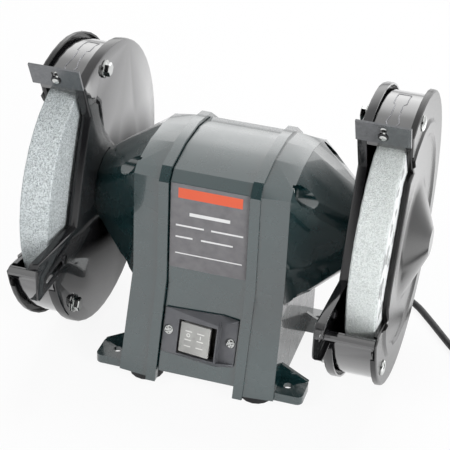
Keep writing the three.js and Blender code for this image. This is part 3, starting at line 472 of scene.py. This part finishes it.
# ---------------------------------------------------------------- small pieces


def piece(name, mesh, material, body, place=None):
    """Adds a piece that rides on a body, at its place if the mesh is not built there."""
    made = bpy.data.objects.new(name, mesh)
    if place is not None:
        made.matrix_world = place
    bpy.context.scene.collection.objects.link(made)
    mesh.materials.append(material)
    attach(made, body)
    return made


def mesh_of(name, build):
    made = bmesh.new()
    build(made)
    mesh = bpy.data.meshes.new(name)
    bmesh.ops.recalc_face_normals(made, faces=made.faces)
    made.to_mesh(mesh)
    made.free()
    return mesh


def join(made, first, second):
    """Faces between two closed rings that have as many points."""
    for k in range(len(first)):
        j = (k + 1) % len(first)
        made.faces.new((first[k], first[j], second[j], second[k]))


def prism(made, outline, low, high):
    """An upright prism on a flat outline, between two heights."""
    base = [made.verts.new((x, y, low)) for x, y in outline]
    top = [made.verts.new((x, y, high)) for x, y in outline]
    made.faces.new(base[::-1])
    made.faces.new(top)
    join(made, base, top)


def rounded_outline(x0, x1, y0, y1, radius, steps=5):
    points = []
    for cx, cy, start in ((x1 - radius, y0 + radius, -90), (x1 - radius, y1 - radius, 0),
                          (x0 + radius, y1 - radius, 90), (x0 + radius, y0 + radius, 180)):
        for k in range(steps + 1):
            angle = math.radians(start + 90 * k / steps)
            points.append((cx + radius * math.cos(angle), cy + radius * math.sin(angle)))
    return points


def in_metres(points):
    return [(first * MM, second * MM) for first, second in points]


def lathe(made, profile, around):
    """The rings of a shape turned about the spindle's direction, from (x, radius) points in order."""
    rings = []
    for x, radius in profile:
        ring = []
        for k in range(around):
            turn = ROUND_ABOUT * k / around
            ring.append(made.verts.new((x, radius * math.cos(turn), radius * math.sin(turn))))
        rings.append(ring)
    for low, high in zip(rings, rings[1:]):
        join(made, low, high)
    return rings


def ring_solid(made, profile, around):
    """A turned solid with a hole: its profile, in mm, closes on itself. Returns its rings."""
    rings = lathe(made, in_metres(profile), around)
    join(made, rings[-1], rings[0])
    return rings


def turned_solid(made, profile, around):
    """A turned solid with flat ends, its profile in mm."""
    rings = lathe(made, in_metres(profile), around)
    made.faces.new(rings[0][::-1])
    made.faces.new(rings[-1])


CHAMFER_START, CHAMFER_TOP = 0.82, 0.86  # share of the height; of the corners' radius


def hexagon_head(made, flats, low, high):
    """A hexagon in mm whose top corners are chamfered; low is its seat, high its top."""
    corner = flats / math.sqrt(3)
    shoulder = low + (high - low) * CHAMFER_START
    turned_solid(made, [(low, corner), (shoulder, corner), (high, corner * CHAMFER_TOP)], 6)


LABEL_WIDTH, LABEL_HEIGHT, LABEL_CORNER = 63.2, 76.4, 1.2
LABEL_FOOT = 104.2  # height of its lower edge
LABEL_FACES = (0.02, 0.3)  # back and front, from the body's front
LABEL_BAR = (-25.5, 26.5, 64, 73)  # left, right, low and high on the label
LABEL_RULES = (
    (-16, 17, 49, 52), (-27, -4, 38.5, 40), (2, 28, 38.5, 40), (-27, -13, 28, 29.5), (-6, 20, 28, 29.5),
    (-27, 28, 13.2, 14.2),
)  # each like the bar


def label_face():
    """Bare data label: grey foil, an orange bar and thin pale rules."""
    s = Surface("label", Coat_Weight=0.3, Coat_Roughness=0.2)
    split = s.node("ShaderNodeSeparateXYZ")
    s.link(s.place, split.inputs[0])

    def between(axis, low, high):
        above = s.math("GREATER_THAN", split.outputs[axis], low * MM)
        return s.math("MULTIPLY", above, s.math("LESS_THAN", split.outputs[axis], high * MM))

    def bar(left, right, low, high):
        return s.math("MULTIPLY", between("X", left, right), between("Y", low, high))

    grey = s.colour(s.noise(120, 4), (0.115, 0.112, 0.118), (0.145, 0.142, 0.148))
    base = s.mix(bar(*LABEL_BAR), grey, (0.60, 0.085, 0.03))
    for rule in LABEL_RULES:
        base = s.mix(bar(*rule), base, (0.62, 0.62, 0.62))
    s.set("Base Color", base)
    s.set("Roughness", s.span(s.noise(80, 3), 0.34, 0.46))
    s.bump((s.noise(800, 2), 0.00003))
    return s.material


def add_label():
    half = LABEL_WIDTH / 2 * MM
    outline = rounded_outline(-half, half, 0, LABEL_HEIGHT * MM, LABEL_CORNER * MM)
    back, front = (face * MM for face in LABEL_FACES)
    mesh = mesh_of("label", lambda made: prism(made, outline, back, front))
    place = Matrix.Translation(mm(0, BODY_FRONT, LABEL_FOOT)) @ Matrix.Rotation(math.pi / 2, 4, "X")
    piece("label", mesh, label_face(), "grinder", place)


APRON_SLOPE = math.atan2(BODY_FRONT - APRON_FOOT[0], CREASE - APRON_FOOT[1])
SWITCH_DROP = 38.5  # of the plate's middle below the crease, along the apron
SWITCH_MIDDLE = mm(0, BODY_FRONT - SWITCH_DROP * math.sin(APRON_SLOPE),
                   CREASE - SWITCH_DROP * math.cos(APRON_SLOPE))
SWITCH = Matrix.Translation(SWITCH_MIDDLE) @ Matrix.Rotation(math.pi / 2 - APRON_SLOPE, 4, "X")
ROCKER_PIVOT = Vector((-1.2, -2.5, -1.5)) * MM  # from the plate's middle
ROCKER_REST = math.radians(-12)
ROCKER = SWITCH @ Matrix.Translation(ROCKER_PIVOT) @ Matrix.Rotation(ROCKER_REST, 4, "Y")


def screw_head(made, radius, height, cross, depth):
    """Pan head with a cross recess, its sizes in metres; its rings drop where the cross runs."""
    rings, around = 9, 48
    skirt = 0.4 * MM
    roundness, reach, rise = 2.6, 0.66, 0.25  # of the dome; of the cross; of the recess's floor
    grid = []
    for i in range(rings + 1):
        share = i / rings
        ring = []
        for k in range(around):
            angle = ROUND_ABOUT * k / around
            away = radius * share
            z = height * math.sqrt(max(0, 1 - share ** roundness))
            x, y = away * math.cos(angle), away * math.sin(angle)
            if min(abs(x), abs(y)) < cross / 2 and away < radius * reach:
                z -= depth * (1 - rise * share)
            ring.append(made.verts.new((x, y, z)))
            if i == 0:
                break
        grid.append(ring)
    for k in range(around):
        made.faces.new((grid[0][0], grid[1][k], grid[1][(k + 1) % around]))
    for inner, outer in zip(grid[1:], grid[2:]):
        join(made, inner, outer)
    foot = [made.verts.new((vertex.co.x, vertex.co.y, -skirt)) for vertex in grid[rings]]
    join(made, grid[rings], foot)
    made.faces.new(foot[::-1])


SWITCH_SCREW = tuple(size * MM for size in (4.3, 2, 1.3, 1.1))  # radius, height, cross, depth
CHEEK_LEAN = math.atan2(10, 47.6)  # of the plate's left side
CROSS_TURN = math.radians(25)
SWITCH_SCREWS = (("left", (-26.2, 0.7, 3.05), -CHEEK_LEAN), ("right", (25.5, -0.8, 2.0), 0))


def add_switch_screws():
    zinc = bpy.data.materials["zinc"]
    for side, spot, tilt in SWITCH_SCREWS:
        mesh = mesh_of(f"{side}_switch_screw", lambda made: screw_head(made, *SWITCH_SCREW))
        mesh.polygons.foreach_set("use_smooth", [True] * len(mesh.polygons))
        turn = Matrix.Rotation(tilt, 4, "Y") @ Matrix.Rotation(CROSS_TURN, 4, "Z")
        place = SWITCH @ Matrix.Translation(Vector(spot) * MM) @ turn
        piece(f"{side}_switch_screw", mesh, zinc, "grinder", place)


ROCKER_TOP = 9.2  # above its pivot
INK = (0.01, 0.09)  # lower and upper face of the print, from that top
RULE_HEIGHT = 0.9
ROCKER_RULES = (
    (-5.6, 6.0, 6), (-5.6, -1.2, 6), (-5.6, -6.4, 6), (5.4, 6.0, 6.4), (5.4, -0.4, 6), (5.4, -6.0, 6.4),
)  # the middle and the width of each
ON_STROKE = (5.4, 2.9, 0.8, 3)
OFF_RING = (-5.6, 2.7, 0.9, 1.75)  # its middle and two radii


def add_rocker_marks():
    """A ring for off, a stroke for on and short rules, printed pale on the rocker."""

    def build(made):
        low, high = ((ROCKER_TOP + rise) * MM for rise in INK)

        def rule(x, y, width, height=RULE_HEIGHT):
            outline = [(x + a * width / 2, y + b * height / 2) for a, b in CORNERS]
            prism(made, in_metres(outline), low, high)

        for x, y, width in ROCKER_RULES:
            rule(x, y, width)
        rule(*ON_STROKE)
        x, y, hole, rim = OFF_RING
        around = 20
        for k in range(around):
            a, b = (ROUND_ABOUT * n / around for n in (k, k + 1))
            outline = [(x + r * math.cos(t), y + r * math.sin(t))
                       for r, t in ((hole, a), (rim, a), (rim, b), (hole, b))]
            prism(made, in_metres(outline), low, high)

    ink = plastic("mark_ink", (0.62, 0.62, 0.60), (0.72, 0.72, 0.70), (0.4, 0.5))
    piece("rocker_marks", mesh_of("rocker_marks", build), ink, "switch_rocker", ROCKER)


BAND_RADIUS = 114
ARROW_MIDDLE = 128.4  # from the middle of the grinder
ARROW_HALF = ((77.5, 5), (88.5, 5), (89.5, 3.1), (98.5, 3.1), (102.3, 5))  # degrees round the band, across it
ARROW_TIP = (108.5, 0)
ARROW_STEP = 2.5
BEAD = ((-0.45, -0.05), (-0.2, 0.16), (0.2, 0.16), (0.45, -0.05))  # section: across, and above the band


def add_arrows():
    """Arrow of the wheel's direction pressed into each guard band as a thin bead, its tip to the front. The
    bead's pale grey is a painted highlight along the arrow's raised edges, which have the band's own black
    paint.
    """
    mirrored = tuple((angle, -across) for angle, across in reversed(ARROW_HALF))
    outline = (*ARROW_HALF, ARROW_TIP, *mirrored)
    corners = [Vector((across, math.radians(angle) * BAND_RADIUS)) for angle, across in outline]
    points = []
    for start, end in zip(corners, corners[1:] + corners[:1]):
        steps = max(1, round((end - start).length / ARROW_STEP))
        points += [start.lerp(end, k / steps) for k in range(steps)]
    # Pale grey painted highlight for the bead, standing in for the light caught along the arrow's raised
    # edges.
    arrow_highlight = plastic("worn_paint", (0.10, 0.10, 0.11), (0.30, 0.30, 0.32), (0.25, 0.4), 700, 0.00003)
    for side, sign in SIDES:

        def build(made):
            rings = []
            for k, point in enumerate(points):
                along = (points[(k + 1) % len(points)] - points[k - 1]).normalized()
                outward = Vector((along.y, -along.x))
                ring = []
                for offset, proud in BEAD:
                    spot = point + outward * offset
                    away, turn = (BAND_RADIUS + proud) * MM, spot.y / BAND_RADIUS
                    x = (sign * ARROW_MIDDLE + spot.x) * MM
                    place = (x, AXIS.y + away * math.cos(turn), AXIS.z + away * math.sin(turn))
                    ring.append(made.verts.new(place))
                rings.append(ring)
            for first, second in zip(rings, rings[1:] + rings[:1]):
                join(made, first, second)

        arrow = piece(f"{side}_arrow", mesh_of(f"{side}_arrow", build), arrow_highlight, "grinder")
        smooth(arrow, angle=60)


# ---------------------------------------------------------------- wheels, covers, fasteners


WHEEL_RADIUS = 100
WHEEL_BORE = 8.1  # radius
WHEEL_EDGE = 1.1  # chamfer of the rim
WHEEL_AROUND, RIM_STEPS = 144, 8  # faces round the wheel and across its rim
RECESS = (48.3, 49.5)  # radii of its floor and of its mouth
SIDE_RING = 75  # radius of the ring that splits each side
WHEEL_SIDES = {"left": (-142.9, -118.5), "right": (119.8, 143.2)}  # x of the two sides
CLAMPED = {"left": (-142.9, -122.9), "right": (120.7, 140.7)}  # x of the faces under the flanges
WORN_EDGE = 0.12  # how far the rim's edge wanders sideways
WORN_RIM = 0.0016  # and inwards, as a share
PAPER_FACES = (143.22, 143.4)  # x of its back and front
PAPER_RADII = (52, 96)  # of its hole and its rim
COVER_FACE = 148.7  # of the covers' flat, from the middle


def add_wheels():
    """Each wheel is about 24 mm wide and recessed for its flanges."""
    for side, (x0, x1) in WHEEL_SIDES.items():
        seat0, seat1 = CLAMPED[side]
        shift = random.Random(side == "left")

        def build(made):
            floor, mouth = RECESS
            edge = WHEEL_RADIUS - WHEEL_EDGE
            first = [(seat0, WHEEL_BORE), (seat0, floor), (x0, mouth), (x0, SIDE_RING), (x0, edge),
                     (x0 + WHEEL_EDGE, WHEEL_RADIUS)]
            rim = [(x0 + (x1 - x0) * k / RIM_STEPS, WHEEL_RADIUS) for k in range(1, RIM_STEPS)]
            last = [(x1 - WHEEL_EDGE, WHEEL_RADIUS), (x1, edge), (x1, SIDE_RING), (x1, mouth),
                    (seat1, floor), (seat1, WHEEL_BORE)]
            rings = ring_solid(made, first + rim + last, WHEEL_AROUND)
            for ring in (rings[4], rings[5], rings[13], rings[14]):  # the two chamfers
                for vertex in ring:
                    vertex.co.x += shift.uniform(-WORN_EDGE, WORN_EDGE) * MM
                    reach = 1 - shift.uniform(0, WORN_RIM)
                    vertex.co.y *= reach
                    vertex.co.z *= reach
            bmesh.ops.translate(made, vec=AXIS, verts=made.verts)

        stone = bpy.data.materials["grit_coarse" if side == "left" else "grit_fine"]
        mesh = mesh_of(f"{side}_grinding_wheel", build)
        wheel = piece(f"{side}_grinding_wheel", mesh, stone, "rotor")
        smooth(wheel)
        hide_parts(f"{side}_wheel")


def printed_side():
    """Paper ring on the outer side of the fine wheel, with blurred grey print that says nothing."""
    s = Surface("printed_paper", Roughness=0.8)
    ground = s.colour(s.noise(90, 5), (0.66, 0.68, 0.68), (0.78, 0.80, 0.80))
    blots = s.span(s.noise(75, 1), 0, 1, 0.56, 0.60)
    marks = s.math("MULTIPLY", blots, s.span(s.noise(400, 3), 0.4, 1))
    s.set("Base Color", s.mix(marks, ground, (0.22, 0.23, 0.23)))
    s.bump((s.noise(900, 3), 0.00005))
    return s.material


def add_wheel_paper():
    def build(made):
        back, front = PAPER_FACES
        hole, rim = PAPER_RADII
        ring_solid(made, [(back, hole), (front, hole), (front, rim), (back, rim)], 96)
        bmesh.ops.translate(made, vec=AXIS, verts=made.verts)

    ring = piece("right_wheel_paper", mesh_of("right_wheel_paper", build), printed_side(), "rotor")
    smooth(ring)


SHEET = 1.5  # of the covers
DOME_NOSE, DOME_FOOT, DOME_HEIGHT = 11.2, 49, 16.3  # two radii and how far it stands out
POINTED_NOSE, POINTED_FOOT, POINTED_HEIGHT = 7, 56, 17  # of the solid's own dome
POINTED_TIP = 2  # more at its middle
LONG_EDGE, CUTS = 14, 11  # edges longer than this are cut so often before they are bent


def blunt_height(radius):
    """How far the pressed dome of a cover stands out at that radius."""
    if radius <= DOME_NOSE:
        return DOME_HEIGHT
    return DOME_HEIGHT * max(0, (DOME_FOOT - radius) / (DOME_FOOT - DOME_NOSE))


def pointed_height(radius):
    """How far the solid's own dome stands out there."""
    if radius < POINTED_NOSE:
        return POINTED_HEIGHT + POINTED_TIP * (1 - radius / POINTED_NOSE)
    return POINTED_HEIGHT * max(0, (POINTED_FOOT - radius) / (POINTED_FOOT - POINTED_NOSE))


def add_covers():
    """The outer covers with their blunt pressed domes."""
    for side, sign in SIDES:
        node = nodes[f"{side}_outer_cover"]
        made = bmesh.new()
        made.from_mesh(node.data)
        bmesh.ops.remove_doubles(made, verts=made.verts, dist=SAME_POINT)

        def place(vertex):
            away = (vertex.co - AXIS) / MM
            return sign * vertex.co.x / MM, math.hypot(away.y, away.z)

        def on_dome(vertex):
            x, radius = place(vertex)
            return radius < POINTED_FOOT + 0.5 and x > COVER_FACE - SHEET - 0.1

        dome_edges = [edge for edge in made.edges if all(on_dome(vertex) for vertex in edge.verts)]
        long_edges = [edge for edge in dome_edges if edge.calc_length() > LONG_EDGE * MM]
        bmesh.ops.subdivide_edges(made, edges=long_edges, cuts=CUTS, use_grid_fill=True)
        bmesh.ops.triangulate(made, faces=[face for face in made.faces if len(face.verts) > 4])
        for vertex in made.verts:
            if not on_dome(vertex):
                continue
            x, radius = place(vertex)
            inside = x - COVER_FACE - pointed_height(radius) < -SHEET / 2 - 0.05
            vertex.co.x = sign * (COVER_FACE + blunt_height(radius) - (SHEET if inside else 0)) * MM
        mesh = bpy.data.meshes.new(f"{side}_wheel_cover")
        made.to_mesh(mesh)
        made.free()
        paint = bpy.data.materials["guard_paint"]
        cover = piece(f"{side}_wheel_cover", mesh, paint, "grinder")
        smooth(cover, angle=18)
        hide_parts(f"{side}_outer_cover")


def settle(made, sign, centre):
    """Mirrors a fastener built for the right side if it goes to the left, and moves it to its place."""
    if sign < 0:
        bmesh.ops.scale(made, vec=(-1, 1, 1), verts=made.verts)
    bmesh.ops.translate(made, vec=centre, verts=made.verts)


BOLT_CIRCLE = 106.3
BOLT_ANGLES = {"top": 94, "front": 223, "back": 328}  # degrees, from the back over the top
BOLT_SEATS = (106.7, COVER_FACE + 0.3)  # on the inner guard and on the cover
BOLT_SHANK, BOLT_ENDS = 2.9, (-3, 0.4)  # radius; ends from the inner and the outer seat
BOLT_WASHER = ((-1.5, 6.9), (-1.2, 7.4), (-0.2, 7.4), (0, 7.2))  # from the inner seat, radius
BOLT_DOME = ((0, 6.3), (0.7, 6.2), (1.5, 5.2), (2.1, 3.4), (2.3, 1.2))  # from the outer seat, radius
BOLT_HEXAGON = (10, -1.45, -5.6)  # flats; seat and top from the inner seat


def add_guard_bolts():
    """Hexagon and washer inside, low round head on the cover."""
    inner, outer = BOLT_SEATS
    start, end = BOLT_ENDS
    flats, low, high = BOLT_HEXAGON
    zinc = bpy.data.materials["zinc"]
    for side, sign in SIDES:
        for name, degrees in BOLT_ANGLES.items():

            def build(made):
                turned_solid(made, [(inner + start, BOLT_SHANK), (outer + end, BOLT_SHANK)], 20)
                turned_solid(made, [(inner + x, radius) for x, radius in BOLT_WASHER], 40)
                hexagon_head(made, flats, inner + low, inner + high)
                turned_solid(made, [(outer + x, radius) for x, radius in BOLT_DOME], 40)
                angle = math.radians(degrees)
                away = Vector((0, math.cos(angle), math.sin(angle))) * BOLT_CIRCLE * MM
                settle(made, sign, AXIS + away)

            mesh = mesh_of(f"{side}_cover_bolt_{name}", build)
            bolt = piece(f"{side}_cover_bolt_{name}", mesh, zinc, "grinder")
            smooth(bolt)
            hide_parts(f"{side}_guard_bolt_{name}")


PLATE_ANGLE = math.radians(115)  # of the radius that the deflector plates stand on
PLATE_SCREW_REACH = 127  # from the spindle, along that radius
PLATE_SCREW = (
    ((-4.4, 1.9), (2.9, 1.9)),
    ((2.7, 2.9), (3.4, 2.8), (3.9, 1.6)),
    ((-4.4, 3.6), (-1.9, 3.6)),
)  # shank, head and nut: out of the plate, radius
PLATE_WASHER = (((2.35, 4.1), (2.8, 4.0)),)


def plate_fastener(name, profiles, material, place):
    def build(made):
        for profile in profiles:
            turned_solid(made, profile, 28)
        bmesh.ops.translate(made, vec=Vector((0, PLATE_SCREW_REACH * MM, 0)), verts=made.verts)

    made = piece(name, mesh_of(name, build), bpy.data.materials[material], "grinder", place)
    smooth(made)
    return made


def add_deflector_screws():
    """Small bright head on a dark washer, square on the plate at the top of each guard."""
    upwards = Vector((0, math.cos(PLATE_ANGLE), math.sin(PLATE_ANGLE)))
    forwards = Vector((0, -math.sin(PLATE_ANGLE), math.cos(PLATE_ANGLE)))
    outwards = Matrix((forwards, upwards, forwards.cross(upwards))).transposed().to_4x4()
    for side, _ in SIDES:
        low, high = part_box(f"{side}_deflector_screw")
        middle = Vector(((low[0] + high[0]) / 2, 0, 0))
        place = Matrix.Translation(AXIS + middle) @ outwards
        screw = plate_fastener(f"{side}_plate_screw", PLATE_SCREW, "zinc", place)
        plate_fastener(f"{side}_plate_washer", PLATE_WASHER, "black_steel", place)
        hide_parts(f"{side}_deflector_screw")


ARM_SCREW_HEAD = ((105.2, 3.2), (105.7, 4.1), (106.7, 4.2))
ARM_SCREW_SHANK = ((106.6, 2.8), (113.5, 2.8))
ARM_NUT = (8, 108.9, 112.6)  # flats, and its two ends from the middle of the grinder


def add_rest_screws():
    """Small dark screw left in the slot of each arm, where a tool rest would go."""
    dark = metal("black_steel", (0.05, 0.05, 0.052), (0.10, 0.10, 0.105), (0.3, 0.42))
    for side, sign in SIDES:
        low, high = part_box(f"{side}_rest_screw")
        centre = Vector((0, (low[1] + high[1]) / 2, (low[2] + high[2]) / 2))

        def build(made):
            turned_solid(made, ARM_SCREW_HEAD, 28)
            turned_solid(made, ARM_SCREW_SHANK, 16)
            hexagon_head(made, *ARM_NUT)
            settle(made, sign, centre)

        mesh = mesh_of(f"{side}_arm_screw", build)
        screw = piece(f"{side}_arm_screw", mesh, dark, "grinder")
        smooth(screw)
        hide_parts(f"{side}_rest_screw")


# ---------------------------------------------------------------- cord


ROUTE = (
    (20, 87.3, 33.3), (20.5, 98, 31), (24, 115, 23), (33, 132, 12), (46, 142, 6.2), (63, 147.5, 3.9),
    (90, 142, 3.2), (120, 122, 3.1), (145, 104, 3.1), (161, 85, 3.1), (176, 65, 3.1), (190, 47, 3.1),
    (203, 33, 3.1), (219.6, 19.9, 3.1),
)  # from the strain relief down to the bench and round to the coil
TO_PLUG = ((302, 30, 16.2), (302, 42, 17.8), (302, 53, 18.6))
CORD_LIE, CORD_PITCH = 3.1, 6.2  # height of its middle on the bench, and from layer to layer
CORD_DIAMETER = 0.006  # metres
COIL_MIDDLE = (268, 20)
COIL_START = 196  # degrees, where the route meets the coil
COIL_STEPS = 20  # to a turn
WIND_PITCH = 7  # from turn to turn
LOWEST_TURNS, SECOND_TURNS = 3, 5.9  # after which the lead climbs to the next layer
CLIMB = 0.25  # of a turn, in which it climbs, or crosses the top
COIL_OUTER, COIL_INNER, SECOND_OUTER, TOP_TURN = 45, 24, 42.6, 34  # radii


def coil_turn(t):
    """Radius and height of the coil's lead after t turns: three layers, one on the other."""
    lowest, second, third = (CORD_LIE + layer * CORD_PITCH for layer in range(3))
    if t < LOWEST_TURNS:
        return COIL_OUTER - WIND_PITCH * t, lowest
    climbed = LOWEST_TURNS + CLIMB
    if t < climbed:
        return COIL_INNER, lowest + CORD_PITCH * (t - LOWEST_TURNS) / CLIMB
    if t < SECOND_TURNS:
        return COIL_INNER + WIND_PITCH * (t - climbed), second
    on_top = SECOND_TURNS + CLIMB
    if t < on_top:
        return SECOND_OUTER, second + CORD_PITCH * (t - SECOND_TURNS) / CLIMB
    if t < on_top + CLIMB:
        return SECOND_OUTER - (SECOND_OUTER - TOP_TURN) * (t - on_top) / CLIMB, third
    return TOP_TURN, third


def coil_points():
    """From the end of the route round to +X of the coil's middle."""
    turns = 8 - COIL_START / 360
    points = []
    for k in range(1, int(turns * COIL_STEPS) + 1):
        t = k / COIL_STEPS
        radius, height = coil_turn(t)
        angle = math.radians(COIL_START) + ROUND_ABOUT * t
        x, y = COIL_MIDDLE
        points.append(mm(x + radius * math.cos(angle), y + radius * math.sin(angle), height))
    return points


def add_cord():
    points = [mm(*point) for point in ROUTE] + coil_points() + [mm(*point) for point in TO_PLUG]
    data = bpy.data.curves.new("mains_lead", "CURVE")
    data.dimensions = "3D"
    data.bevel_depth = CORD_DIAMETER / 2
    data.bevel_resolution = 4
    data.resolution_u = 4
    data.use_fill_caps = True
    spline = data.splines.new("BEZIER")
    spline.bezier_points.add(len(points) - 1)
    for knot, point in zip(spline.bezier_points, points):
        knot.co = point
        knot.handle_left_type = knot.handle_right_type = "AUTO"
    lead = bpy.data.objects.new("mains_lead", data)
    bpy.context.scene.collection.objects.link(lead)
    dark, pale = (0.011, 0.011, 0.012), (0.019, 0.019, 0.020)
    data.materials.append(plastic("cord_jacket", dark, pale, (0.4, 0.55), 900, 0.00004))
    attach(lead, "grinder")
    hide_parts("mains_cord", "cord_coil")


# ---------------------------------------------------------------- scene

add_camera()
add_cord()
add_world()
add_floor()
# Lamps and cards have their places and sizes in metres.
add_softbox("overhead", (0, 1.2, 2.0), (1.6, 1.2), 16)
add_softbox("key", (-1.1, -2.0, 1.5), (1.4, 1.2), 16)
add_softbox("fill", (1.9, -1.4, 0.9), (1.2, 1.2), 36)
gloss_card("back_card", (0, 2.7, 1.25), LOOK_AT, (6.5, 2.9), 1.9)
gloss_card("dark_card", (0, -2.6, 1.7), LOOK_AT, (6, 3.6), 0)
gloss_card("right_floor_card", (0.40, 0.22, 0.0005), (0.40, 0.22, 1), (0.56, 1.1), 2.4)
gloss_card("shaded_floor_card", (-0.05, 0.20, 0.001), (-0.05, 0.20, 1), (0.30, 0.56), 0)
dress_all()
add_wheels()
add_wheel_paper()
add_covers()
add_guard_bolts()
add_rest_screws()
add_deflector_screws()
add_label()
add_switch_screws()
add_rocker_marks()
add_arrows()

bpy.context.scene.view_settings.view_transform = "Standard"
